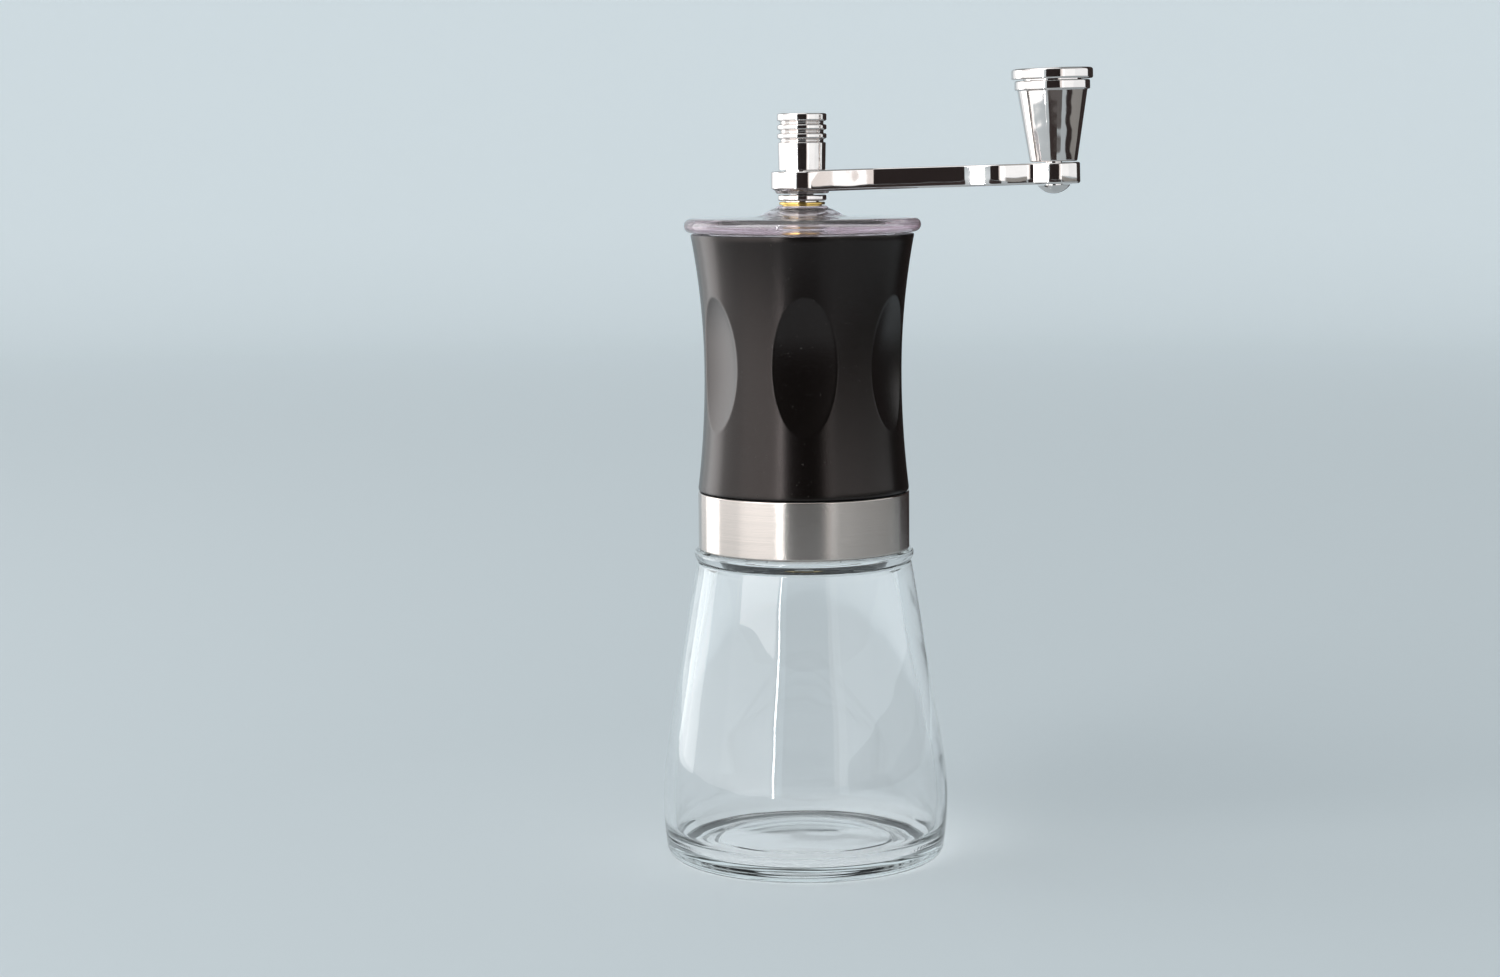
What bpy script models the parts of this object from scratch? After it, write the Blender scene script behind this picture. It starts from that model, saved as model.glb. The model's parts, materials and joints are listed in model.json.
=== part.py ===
"""Hand crank coffee grinder with a glass jar.

It stands on z = 0 with its shaft along Z and its crank arm along +X. Every height is stacked up from
the jar's foot, and every radius is built outwards from the shaft and the burrs, so a change of one
size carries its neighbours with it. Lengths are in metres.
"""
from math import acos, atan2, cos, hypot, pi, sin, sqrt, tau

import bmesh
import bpy
from mathutils import Matrix, Vector

# ------------------------------------------------------------------ clearances
FIT = 0.0003                # between faces that seat on each other
RUN = 0.0003                # round whatever turns or slides
OVERRUN = 0.0010            # how far a cutter passes through the faces that it opens

# ------------------------------------------------------------------ glass jar
JAR_HEIGHT = 0.0820         # foot to the ledge under the steel band
JAR_RADIUS = 0.0380         # where the belly is widest
JAR_WIDEST_Z = 0.0150
JAR_BELLY_CURVE = 0.0800    # radius of the belly's upright curve
JAR_HEEL = 0.0032           # rounding between the side and the foot
JAR_WALL = 0.0030
JAR_FLOOR = 0.0055
JAR_FLOOR_CURVE = 0.0070    # rounding inside, between the floor and the side
JAR_SHOULDER_STEP = 0.0006  # how far the cone's top stands out past the band
JAR_BEAD_STEP = 0.0011      # the same for the bead
JAR_BEAD_HEIGHT = 0.0036
NECK_HEIGHT = 0.0110
NECK_WALL = 0.0022
NECK_AIR = 0.0007           # between the burr retainer's flange and the neck

# ------------------------------------------------------------------ screw thread of the jar
THREAD_PITCH = 0.0042
THREAD_DEPTH = 0.0009
THREAD_ROOT_WIDTH = 0.0018
THREAD_CREST_WIDTH = 0.0009
THREAD_MARGIN = 0.0010      # bare neck above and below the thread
THREAD_SINK = 0.0005        # how deep a ridge's root reaches into its wall
THREAD_RUN_OUT = 0.10       # turns over which a ridge grows to its full depth

# ------------------------------------------------------------------ coupling and band
GASKET_THICKNESS = 0.0015
WEB_THICKNESS = 0.0025      # the coupling's flat top
COUPLING_WALL = 0.0011      # outside the thread
SPIGOT_HEIGHT = 0.0040      # upstand that carries the body
SPIGOT_WALL = 0.0030
BAND_WALL = 0.0007
BAND_HEM = 0.0011           # inward turn at the band's lower edge

# ------------------------------------------------------------------ burrs
INNER_BURR_RADIUS = 0.0160
INNER_BURR_TIP = 0.0070     # radius at the top
BURR_GAP = 0.0006           # between the teeth at the present grind setting
BURR_LAND = 0.0060          # height of the fine teeth
BURR_LAND_FLARE = 0.0012    # how much the fine teeth widen downwards
BURR_MOUTH_CLOSE = 0.0010   # how much the ring's mouth is narrower than its land
BURR_TEETH = 16
BURR_TOOTH_DEPTH = 0.0008
BURR_TWIST = 0.9            # turn of the teeth from foot to tip, in radians
OUTER_BURR_WALL = 0.0024
OUTER_BURR_HEIGHT = 0.0200
INNER_BURR_STANDS = 0.0012  # how far the cone stands out above the ring
INNER_BURR_HANGS = 0.0019   # and below it
CARRIER_PLATE = 0.0024
CARRIER_RIM = 0.0030        # how far the carrier's plate stays inside the cone's foot
CARRIER_HUB_WALL = 0.0019
CARRIER_HUB_HEIGHT = 0.0155
RETAINER_RING = 0.0027      # height of the part inside the web
RETAINER_FLANGE = 0.0012
RETAINER_LIP = 0.0009       # how far the flange stands out
RETAINER_WIDTH = 0.0036
RETAINER_NOTCH = 0.0016     # finger notches in the flange
RETAINER_NOTCHES = 3

# ------------------------------------------------------------------ grind adjuster
CLICK_PLATE = 0.0010
CLICK_PLATE_RIM = 0.0030    # how far the plate reaches past the nut
CLICK_NOTCHES = 12
CLICK_NOTCH = 0.0007
WHEEL_RADIUS = 0.0140
WHEEL_HEIGHT = 0.0068
WHEEL_LOBES = 8
WHEEL_LOBE_DEPTH = 0.0016
WHEEL_EDGE = 0.0008
WHEEL_RECESS = 0.0018       # dish round the nut, underneath
WHEEL_RIM = 0.0024          # least width of the rim round the dish
NUT_WALL = 0.0024
SHAFT_TAIL = 0.0013         # shaft below the wheel

# ------------------------------------------------------------------ shaft, bushes and spring
SHAFT_RADIUS = 0.0030
SHAFT_THREAD_SHRINK = 0.0004
SHAFT_CHAMFER = 0.0005
CLIP_THICKNESS = 0.0008
CLIP_WIDTH = 0.0020
CLIP_GROOVE = 0.0005        # depth of the clip's groove in the shaft
CLIP_OPENING = 0.60         # half of the clip's gap, in radians
BUSH_WALL = 0.0012
BUSH_FLANGE = 0.0011        # how far a bush's flange stands out
BUSH_FLANGE_THICKNESS = 0.0010
SPRING_WIRE = 0.0005        # radius of the wire
SPRING_TURNS = 4
SPRING_TURN_FACETS = 12
SPRING_WIRE_FACETS = 5
SPRING_WASHER = 0.0006

# ------------------------------------------------------------------ hopper and its bridges
SOCKET_WALL = 0.0015        # round the outer burr
HOPPER_WALL = 0.0015
HOPPER_FLANGE = 0.0012
HOPPER_LEDGE = 0.0008       # how far the flange sits over the body's wall
HOPPER_SHELF = 0.0012       # least height of the funnel's floor over the burr
HOPPER_SHELF_LIP = 0.0020   # how far the floor reaches in over the burr
FUNNEL_HEIGHT = 0.0110
BRIDGE_ARMS = 3
BRIDGE_ARM_WIDTH = 0.0032
BRIDGE_ARM_STEP = 0.0006    # how much an arm is thinner than the hub, above and below
BRIDGE_HUB_WALL = 0.0024
BRIDGE_RING_WALL = 0.0018
UPPER_BRIDGE_HEIGHT = 0.0050
LOWER_BRIDGE_HEIGHT = 0.0045
LOWER_BRIDGE_LIFT = 0.0055  # from the burr ring's top up to the bridge

# ------------------------------------------------------------------ body
BODY_HEIGHT = 0.0674
BODY_WALL = 0.0028
BODY_WAIST = 0.00195        # how much the waist is narrower than the band
BODY_WAIST_HEIGHT = 0.0312
BODY_FLARE = 0.00145        # how much the top is wider than the band
DIMPLES = 6
DIMPLE_CURVE = 0.0600       # radius of the thumb dimples' surface
DIMPLE_DEPTH = 0.0019
DIMPLE_HEIGHT = 0.0330      # of the dimples' middle, above the body's foot
DIMPLE_LENS = 0.0225        # radius of the lens that cuts a dimple

# ------------------------------------------------------------------ lid
LID_OVERHANG = 0.00175
LID_RIM = 0.0038            # height of the rim
LID_PLATE = 0.0022
LID_DOME = 0.0009           # rise of the plate from the rim to the neck's foot
LID_SKIRT = 0.0022          # depth inside the hopper's mouth
LID_SKIRT_WALL = 0.0015
LID_NECK = 0.0022           # height of the neck above its foot
LID_NECK_FOOT = 0.0054      # how much wider than its top the neck's foot is
LID_NECK_WALL = 0.0012
LID_BUSH_WALL = 0.0005
LID_BUSH_FLANGE = 0.0008
LID_BUSH_THICKNESS = 0.0007
LID_BUSH_DEPTH = 0.0020

# ------------------------------------------------------------------ crank
COLLAR_SLEEVE_WALL = 0.0011
COLLAR_FLANGE = 0.0020      # how far the collar stands out past the sleeve
COLLAR_THICKNESS = 0.0016
HUB_WALL = 0.0035
HUB_HEIGHT = 0.0058
HUB_CHAMFER = 0.0012
HUB_CHAMFER_HEIGHT = 0.0017
ARM_LENGTH = 0.0658         # shaft axis to knob axis
ARM_RISE = 0.0015           # the eye's height above the hub
ARM_THICKNESS = 0.0055
ARM_EDGE = 0.0007
ARM_ROOT = 0.0076           # half width where the arm leaves the hub's middle
ARM_TAPER_END = 0.0198
ARM_WAIST = 0.0042          # half width after the taper
ARM_WAIST_END = 0.0410
ARM_END = 0.0047            # half width where the eye's fillet begins
ARM_FILLET = 0.0160
EYE_WALL = 0.0044
SPIGOT_TUBE_WALL = 0.0010   # round the six-sided socket
COLUMN_STEP = 0.0017
COLUMN_HEIGHT = 0.0071
COLUMN_TAPER = 0.00015
HEAD_STEP = 0.00045
HEAD_BAND = 0.0019
HEAD_GROOVES = 3
HEAD_GROOVE = 0.0011
HEAD_RIDGE = 0.0012
HEAD_GROOVE_DEPTH = 0.0010
SOCKET_ROOF = 0.0080        # solid metal above the socket
SHAFT_HEADROOM = 0.0006

# ------------------------------------------------------------------ knob
KNOB_FOOT = 0.00595
KNOB_CONE = 0.0098
KNOB_CONE_HEIGHT = 0.0185
KNOB_BAND_STEP = 0.0005
KNOB_BAND = 0.0025
KNOB_WALL = 0.0016
KNOB_WEB = 0.0050           # solid foot that turns on the pin
CAP_STEP = 0.00035          # how far the cap stands out past the band
CAP_HEIGHT = 0.0028
CAP_EDGE = 0.0006
CAP_PLUG = 0.0020
PIN_RADIUS = 0.0022
PIN_DOME = 0.0043
PIN_DOME_HEIGHT = 0.0022
PIN_HEAD = 0.0014
PIN_HEAD_STEP = 0.0016

# ------------------------------------------------------------------ facets
LARGE = 32
MEDIUM = 24
FLAT_FACETS = 3             # along each flat of the shaft's hexagon
SMALL = 6 * FLAT_FACETS
DIMPLE_FACETS = 8           # of the body, for each dimple

# ------------------------------------------------------------------ radii, from the shaft outwards
HEX_FLAT = SHAFT_RADIUS * cos(pi / 6)
SHAFT_TAIL_RADIUS = SHAFT_RADIUS - SHAFT_THREAD_SHRINK
NUT_BORE = SHAFT_TAIL_RADIUS + RUN
NUT_RADIUS = NUT_BORE + NUT_WALL       # across the nut's corners
NUT_FLAT = NUT_RADIUS * cos(pi / 6)
JOURNAL_BORE = SHAFT_RADIUS + RUN
BUSH_RADIUS = JOURNAL_BORE + BUSH_WALL
BRIDGE_BORE = BUSH_RADIUS + FIT
BRIDGE_HUB_RADIUS = BRIDGE_BORE + BRIDGE_HUB_WALL
CARRIER_HUB_RADIUS = SHAFT_RADIUS + RUN + CARRIER_HUB_WALL
INNER_BURR_BORE = CARRIER_HUB_RADIUS + FIT
SPRING_RADIUS = (SHAFT_RADIUS + INNER_BURR_BORE) / 2
BURR_LAND_RADIUS = INNER_BURR_RADIUS + BURR_GAP
OUTER_BURR_RADIUS = BURR_LAND_RADIUS + OUTER_BURR_WALL
SOCKET_BORE = OUTER_BURR_RADIUS + FIT
MOUTH_RADIUS = BURR_LAND_RADIUS + BURR_GAP - HOPPER_SHELF_LIP
SOCKET_RADIUS = SOCKET_BORE + SOCKET_WALL
WEB_BORE = SOCKET_RADIUS + FIT
RETAINER_FLANGE_RADIUS = SOCKET_RADIUS + RETAINER_LIP
RETAINER_BORE = SOCKET_RADIUS - RETAINER_WIDTH
NECK_BORE = RETAINER_FLANGE_RADIUS + NECK_AIR
NECK_RADIUS = NECK_BORE + NECK_WALL
COUPLING_BORE = NECK_RADIUS + THREAD_DEPTH + RUN
COUPLING_RADIUS = COUPLING_BORE + COUPLING_WALL
BAND_RADIUS = COUPLING_RADIUS + FIT + BAND_WALL
SPIGOT_RADIUS = WEB_BORE + SPIGOT_WALL
SHELL_SEAT = SPIGOT_RADIUS + FIT
WAIST_RADIUS = BAND_RADIUS - BODY_WAIST
BODY_TOP_RADIUS = BAND_RADIUS + BODY_FLARE
LID_RADIUS = BODY_TOP_RADIUS + LID_OVERHANG
COLLAR_SLEEVE_RADIUS = SHAFT_RADIUS + FIT + COLLAR_SLEEVE_WALL
COLLAR_RADIUS = COLLAR_SLEEVE_RADIUS + COLLAR_FLANGE
LID_BUSH_BORE = COLLAR_SLEEVE_RADIUS + RUN
LID_BUSH_RADIUS = LID_BUSH_BORE + LID_BUSH_WALL
LID_BORE = LID_BUSH_RADIUS + FIT
LID_NECK_RADIUS = LID_BORE + LID_NECK_WALL
SOCKET_HEX = HEX_FLAT + FIT
SOCKET_TUBE_RADIUS = SOCKET_HEX / cos(pi / 6) + SPIGOT_TUBE_WALL
HUB_BORE = SOCKET_TUBE_RADIUS + FIT
HUB_RADIUS = HUB_BORE + HUB_WALL
COLUMN_RADIUS = SOCKET_TUBE_RADIUS + COLUMN_STEP
HEAD_RADIUS = COLUMN_RADIUS + HEAD_STEP
EYE_BORE = PIN_RADIUS + FIT
EYE_RADIUS = EYE_BORE + EYE_WALL
KNOB_BAND_RADIUS = KNOB_CONE + KNOB_BAND_STEP
KNOB_MOUTH = KNOB_CONE - KNOB_WALL

# ------------------------------------------------------------------ heights, from the foot upwards
NECK_TOP = JAR_HEIGHT + NECK_HEIGHT
THREAD_SPAN = NECK_HEIGHT - 2 * THREAD_MARGIN - THREAD_ROOT_WIDTH - THREAD_PITCH / 2
THREAD_TURNS = THREAD_SPAN / THREAD_PITCH
GASKET_BOTTOM = NECK_TOP + FIT
WEB_BOTTOM = GASKET_BOTTOM + GASKET_THICKNESS + FIT
WEB_TOP = WEB_BOTTOM + WEB_THICKNESS
BAND_BOTTOM = JAR_HEIGHT + RUN
SPIGOT_TOP = WEB_TOP + SPIGOT_HEIGHT
SHELL_SEAT_TOP = SPIGOT_TOP + FIT
BODY_BOTTOM = WEB_TOP + FIT
BODY_TOP = BODY_BOTTOM + BODY_HEIGHT
HOPPER_TOP = BODY_TOP - FIT
LEDGE_Z = HOPPER_TOP - HOPPER_FLANGE - FIT
WAIST_Z = BODY_BOTTOM + BODY_WAIST_HEIGHT
RETAINER_BOTTOM = WEB_BOTTOM - FIT - RETAINER_FLANGE
RETAINER_TOP = WEB_BOTTOM - FIT + RETAINER_RING + 2 * FIT
BURR_BOTTOM = RETAINER_TOP + FIT
BURR_TOP = BURR_BOTTOM + OUTER_BURR_HEIGHT
SHELF_BOTTOM = BURR_TOP + FIT
FUNNEL_TOP = SHELF_BOTTOM + FUNNEL_HEIGHT
INNER_BURR_BOTTOM = BURR_BOTTOM - INNER_BURR_HANGS
INNER_BURR_TOP = BURR_TOP + INNER_BURR_STANDS
CARRIER_TOP = INNER_BURR_BOTTOM - FIT
CARRIER_BOTTOM = CARRIER_TOP - CARRIER_PLATE
CARRIER_HUB_TOP = CARRIER_TOP + CARRIER_HUB_HEIGHT
CLICK_TOP = CARRIER_BOTTOM - FIT
CLICK_BOTTOM = CLICK_TOP - CLICK_PLATE
WHEEL_TOP = CLICK_BOTTOM - FIT
WHEEL_BOTTOM = WHEEL_TOP - WHEEL_HEIGHT
SHAFT_BOTTOM = WHEEL_BOTTOM - SHAFT_TAIL
LOWER_BRIDGE_BOTTOM = BURR_TOP + LOWER_BRIDGE_LIFT
LOWER_BRIDGE_TOP = LOWER_BRIDGE_BOTTOM + LOWER_BRIDGE_HEIGHT
UPPER_BRIDGE_TOP = BODY_TOP - LID_SKIRT - FIT
UPPER_BRIDGE_BOTTOM = UPPER_BRIDGE_TOP - UPPER_BRIDGE_HEIGHT
LOWER_FLANGE_BOTTOM = LOWER_BRIDGE_BOTTOM - FIT - BUSH_FLANGE_THICKNESS
UPPER_FLANGE_TOP = UPPER_BRIDGE_TOP + FIT + BUSH_FLANGE_THICKNESS
CLIP_BOTTOM = UPPER_FLANGE_TOP + RUN
CLIP_TOP = CLIP_BOTTOM + CLIP_THICKNESS
WASHER_BOTTOM = CARRIER_HUB_TOP + FIT
SPRING_BOTTOM = WASHER_BOTTOM + SPRING_WASHER + FIT
SPRING_TOP = LOWER_FLANGE_BOTTOM - FIT
JOURNAL_BOTTOM = LOWER_FLANGE_BOTTOM - FIT
LID_BOTTOM = BODY_TOP + FIT
LID_RIM_TOP = LID_BOTTOM + LID_RIM
LID_NECK_BOTTOM = LID_RIM_TOP + LID_DOME
LID_TOP = LID_NECK_BOTTOM + LID_NECK
LID_BUSH_BOTTOM = LID_TOP + FIT
COLLAR_BOTTOM = LID_BUSH_BOTTOM + LID_BUSH_THICKNESS + RUN
COLLAR_TOP = COLLAR_BOTTOM + COLLAR_THICKNESS
HUB_BOTTOM = COLLAR_TOP + FIT
HUB_TOP = HUB_BOTTOM + HUB_HEIGHT
COLUMN_BOTTOM = HUB_TOP + FIT
COLUMN_TOP = COLUMN_BOTTOM + COLUMN_HEIGHT
HEAD_TOP = COLUMN_TOP + HEAD_BAND + HEAD_GROOVES * HEAD_GROOVE + (HEAD_GROOVES - 1) * HEAD_RIDGE
SOCKET_TOP = HEAD_TOP - SOCKET_ROOF
SHAFT_TOP = SOCKET_TOP - SHAFT_HEADROOM
HEX_BOTTOM = HUB_BOTTOM - COLLAR_THICKNESS / 2
ARM_Z = (HUB_BOTTOM + HUB_TOP) / 2 + ARM_EDGE / 2
ARM_TILT = Matrix.Rotation(-atan2(ARM_RISE, ARM_LENGTH), 4, "Y")

# ------------------------------------------------------------------ heights on the knob's own axis
KNOB_BOTTOM = ARM_THICKNESS / 2 + RUN
KNOB_BAND_BOTTOM = KNOB_BOTTOM + KNOB_CONE_HEIGHT
KNOB_BAND_TOP = KNOB_BAND_BOTTOM + KNOB_BAND


# ------------------------------------------------------------------ materials
def material(name, colour, roughness, metallic=0.0, transmission=0.0, ior=1.45):
    """A Principled material in one plain finish."""
    made = bpy.data.materials.new(name)
    made.use_nodes = True
    shader = made.node_tree.nodes["Principled BSDF"]
    shader.inputs["Base Color"].default_value = (*colour, 1.0)
    shader.inputs["Roughness"].default_value = roughness
    shader.inputs["Metallic"].default_value = metallic
    shader.inputs["Transmission Weight"].default_value = transmission
    shader.inputs["IOR"].default_value = ior
    made.diffuse_color = (*colour, 1.0 - 0.7 * transmission)
    return made


def make_materials():
    return {
        "clear_glass": material("clear_glass", (0.90, 0.96, 0.94), 0.02, transmission=1.0, ior=1.52),
        "clear_plastic": material("clear_plastic", (0.95, 0.88, 0.91), 0.05, transmission=1.0, ior=1.49),
        "silicone": material("silicone", (0.80, 0.80, 0.78), 0.60),
        "body_plastic": material("body_plastic", (0.020, 0.017, 0.016), 0.42),
        "inner_plastic": material("inner_plastic", (0.030, 0.028, 0.028), 0.50),
        "brushed_band": material("brushed_band", (0.62, 0.56, 0.52), 0.32, metallic=1.0),
        "plain_steel": material("plain_steel", (0.60, 0.60, 0.61), 0.28, metallic=1.0),
        "chrome": material("chrome", (0.82, 0.80, 0.79), 0.06, metallic=1.0),
        "brass": material("brass", (0.78, 0.58, 0.26), 0.25, metallic=1.0),
        "ceramic": material("ceramic", (0.88, 0.87, 0.83), 0.45),
    }


# ------------------------------------------------------------------ making solids
def add_object(name, shape, finish, parent=None):
    """Put a finished bmesh in the scene as a smooth-shaded object with one material."""
    mesh = bpy.data.meshes.new(name)
    bmesh.ops.recalc_face_normals(shape, faces=shape.faces)
    shape.to_mesh(mesh)
    shape.free()
    mesh.shade_smooth()
    mesh.set_sharp_from_angle(angle=pi / 6)
    made = bpy.data.objects.new(name, mesh)
    bpy.context.scene.collection.objects.link(made)
    if finish:
        mesh.materials.append(finish)
    made.parent = parent
    return made


def turned_shape(outline, steps):
    """Spin a closed (radius, height) outline about Z; one that starts and ends on Z stays open there."""
    shape = bmesh.new()
    points = [shape.verts.new((radius, 0.0, height)) for radius, height in outline]
    on_axis = outline[0][0] == 0.0 and outline[-1][0] == 0.0
    pairs = list(zip(points, points[1:])) + ([] if on_axis else [(points[-1], points[0])])
    edges = [shape.edges.new(pair) for pair in pairs]
    bmesh.ops.spin(shape, geom=points + edges, cent=(0, 0, 0), axis=(0, 0, 1), angle=tau, steps=steps)
    bmesh.ops.remove_doubles(shape, verts=shape.verts, dist=1e-7)
    return shape


def turned(name, outline, finish, parent=None, steps=LARGE):
    return add_object(name, turned_shape(outline, steps), finish, parent)


def lofted_shape(loops):
    """Skin a stack of closed loops of points, and cap both ends."""
    shape = bmesh.new()
    rings = [[shape.verts.new(point) for point in loop] for loop in loops]
    for lower, upper in zip(rings, rings[1:]):
        for i in range(len(lower)):
            shape.faces.new((lower[i - 1], lower[i], upper[i], upper[i - 1]))
    shape.faces.new(list(reversed(rings[0])))
    shape.faces.new(rings[-1])
    return shape


def lofted(name, loops, finish, parent=None):
    return add_object(name, lofted_shape(loops), finish, parent)


def loop_at(height, radius_at, steps):
    """Points round Z at one height, at the radius that radius_at gives for each angle."""
    angles = [tau * i / steps for i in range(steps)]
    return [Vector((radius_at(a) * cos(a), radius_at(a) * sin(a), height)) for a in angles]


def circle(radius):
    return lambda angle: radius


def hexagon(half_flat):
    return lambda angle: half_flat / cos(angle % (pi / 3) - pi / 6)


def prism(name, outline, bottom, top, finish=None, parent=None):
    """Extrude a flat (x, y) outline from one height to another."""
    return lofted(name, [[Vector((x, y, z)) for x, y in outline] for z in (bottom, top)], finish, parent)


def boolean(piece, other, operation):
    """Cut with, or join, another object; the other one stays as a hidden guide."""
    other.hide_render = True
    other.display_type = "WIRE"
    change = piece.modifiers.new(operation.title(), "BOOLEAN")
    change.operation = operation
    change.object = other
    change.solver = "EXACT"


def cut(piece, cutter):
    boolean(piece, cutter, "DIFFERENCE")


def join(piece, addition):
    boolean(piece, addition, "UNION")


def bevel(piece, width, angle=pi / 4, segments=1):
    """Round the sharp edges of a piece."""
    change = piece.modifiers.new("Bevel", "BEVEL")
    change.width = width
    change.segments = segments
    change.limit_method = "ANGLE"
    change.angle_limit = angle
    change.use_clamp_overlap = True


def round_cutter(name, radius, bottom, top, parent=None, steps=SMALL):
    return lofted(name, [loop_at(z, circle(radius), steps) for z in (bottom, top)], None, parent)


def hex_cutter(name, half_flat, bottom, top):
    return lofted(name, [loop_at(z, hexagon(half_flat), 6) for z in (bottom, top)], None)


def arc(centre, radius, start, end, count):
    """Points on an arc of a flat outline, both ends included."""
    steps = [start + (end - start) * i / count for i in range(count + 1)]
    return [(centre[0] + radius * cos(a), centre[1] + radius * sin(a)) for a in steps]


def empty(name, location, parent=None):
    """A named pivot, which isn't a piece of the grinder."""
    made = bpy.data.objects.new(name, None)
    made.location = location
    made.empty_display_size = 0.01
    made.parent = parent
    bpy.context.scene.collection.objects.link(made)
    return made


# ------------------------------------------------------------------ glass jar
def belly(radius_of_curve, shoulder):
    """The jar's side from its widest point up: an arc, then the cone that meets the shoulder point.

    Gives the arc's centre and the angle on it where the cone leaves.
    """
    centre = (JAR_RADIUS - JAR_BELLY_CURVE, JAR_WIDEST_Z)
    across, up = shoulder[0] - centre[0], shoulder[1] - centre[1]
    reach = hypot(across, up)
    return centre, atan2(up, across) - acos(min(1.0, radius_of_curve / reach))


def jar_outline():
    """Outside from the foot's middle up to the lip, then down the inside to the floor's middle."""
    shoulder = (BAND_RADIUS + JAR_SHOULDER_STEP, JAR_HEIGHT - JAR_BEAD_HEIGHT)
    centre, leave = belly(JAR_BELLY_CURVE, shoulder)
    heel_top = -atan2(JAR_WIDEST_Z - JAR_HEEL, JAR_BELLY_CURVE)
    side = arc(centre, JAR_BELLY_CURVE, heel_top, leave, 5)
    heel = arc((side[0][0] - JAR_HEEL, JAR_HEEL), JAR_HEEL, -pi / 2, 0.0, 3)[:-1]
    bead_tip = JAR_BEAD_HEIGHT / 2
    bead_centre = (BAND_RADIUS + JAR_BEAD_STEP - bead_tip, JAR_HEIGHT - bead_tip)
    bead = arc(bead_centre, bead_tip, -pi / 3, pi / 2, 3)
    neck = [(NECK_RADIUS, JAR_HEIGHT), (NECK_RADIUS, NECK_TOP - NECK_WALL / 4)]
    lip = [(NECK_RADIUS - NECK_WALL / 4, NECK_TOP), (NECK_BORE + NECK_WALL / 4, NECK_TOP)]

    inside_curve = JAR_BELLY_CURVE - JAR_WALL
    slope = Vector((cos(leave), sin(leave))) * JAR_WALL
    inner_shoulder = (shoulder[0] - slope.x, shoulder[1] - slope.y)
    cone_drop = (inner_shoulder[0] - NECK_BORE) * cos(leave)
    throat = [(NECK_BORE, NECK_TOP - NECK_WALL / 4), (NECK_BORE, inner_shoulder[1] + cone_drop)]
    floor_z = JAR_FLOOR
    floor_top = -atan2(JAR_WIDEST_Z - floor_z - JAR_FLOOR_CURVE, inside_curve)
    inside = arc(centre, inside_curve, leave, floor_top, 4)
    corner = (inside[-1][0] - JAR_FLOOR_CURVE, floor_z + JAR_FLOOR_CURVE)
    floor = arc(corner, JAR_FLOOR_CURVE, 0.0, -pi / 2, 3)[1:]
    return ([(0.0, 0.0)] + heel + side + [shoulder] + bead + neck + lip + throat
            + [inner_shoulder] + inside + floor + [(0.0, floor_z)])


def thread_ridge(name, wall_radius, outwards, start_z, turns):
    """A helical ridge on a round wall; it runs out into the wall at both ends."""
    steps = round(turns * MEDIUM)
    loops = []
    for i in range(steps + 1):
        along = i / steps
        angle = tau * turns * along + pi / LARGE
        height = start_z + THREAD_PITCH * turns * along
        grown = min(1.0, min(along, 1.0 - along) * turns / THREAD_RUN_OUT)
        root = wall_radius - outwards * THREAD_SINK
        crest = wall_radius + outwards * (THREAD_DEPTH * grown - THREAD_SINK / 2 * (1.0 - grown))
        half_root, half_crest = THREAD_ROOT_WIDTH / 2, THREAD_CREST_WIDTH / 2
        section = [(root, -half_root), (crest, -half_crest), (crest, half_crest), (root, half_root)]
        loops.append([Vector((r * cos(angle), r * sin(angle), height + z)) for r, z in section])
    return lofted(name, loops, None)


def make_jar(finish):
    jar = turned("glass_jar", jar_outline(), finish["clear_glass"])
    start = JAR_HEIGHT + THREAD_MARGIN + THREAD_ROOT_WIDTH / 2 + THREAD_PITCH / 2
    join(jar, thread_ridge("jar_thread_guide", NECK_RADIUS, 1, start, THREAD_TURNS))


# ------------------------------------------------------------------ coupling, gasket and band
def make_gasket(finish, parent):
    inner, outer = NECK_BORE - NECK_AIR / 2, COUPLING_BORE - FIT
    top = GASKET_BOTTOM + GASKET_THICKNESS
    turned("jar_gasket", [(inner, GASKET_BOTTOM), (outer, GASKET_BOTTOM), (outer, top), (inner, top)],
           finish["silicone"], parent)


def make_coupling(finish, parent):
    bottom = BAND_BOTTOM + BAND_WALL + FIT
    outline = [
        (COUPLING_BORE, bottom), (COUPLING_RADIUS, bottom), (COUPLING_RADIUS, WEB_TOP),
        (SPIGOT_RADIUS, WEB_TOP), (SPIGOT_RADIUS, SPIGOT_TOP), (WEB_BORE, SPIGOT_TOP),
        (WEB_BORE, WEB_BOTTOM), (COUPLING_BORE, WEB_BOTTOM),
    ]
    coupling = turned("jar_coupling", outline, finish["inner_plastic"], parent)
    start = JAR_HEIGHT + THREAD_MARGIN + THREAD_ROOT_WIDTH / 2
    join(coupling, thread_ridge("coupling_thread_guide", COUPLING_BORE, -1, start, THREAD_TURNS))


def make_band(finish, parent):
    bore = BAND_RADIUS - BAND_WALL
    lip = COUPLING_BORE + RUN
    edge = BAND_WALL / 2
    outline = [
        (BAND_RADIUS - edge, BAND_BOTTOM), (BAND_RADIUS, BAND_BOTTOM + edge), (BAND_RADIUS, WEB_TOP - edge),
        (BAND_RADIUS - edge / 2, WEB_TOP), (bore, WEB_TOP), (bore, BAND_BOTTOM + BAND_WALL),
        (max(lip, bore - BAND_HEM), BAND_BOTTOM + BAND_WALL), (max(lip, bore - BAND_HEM), BAND_BOTTOM),
    ]
    turned("steel_band", outline, finish["brushed_band"], parent)


# ------------------------------------------------------------------ body
def body_radius(height):
    """Outer radius of the waisted body: one soft curve below the waist and one above it."""
    if height < WAIST_Z:
        end, swell = BODY_BOTTOM, BODY_WAIST
    else:
        end, swell = BODY_TOP, BODY_WAIST + BODY_FLARE
    return WAIST_RADIUS + swell * ((height - WAIST_Z) / (end - WAIST_Z)) ** 2


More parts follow.
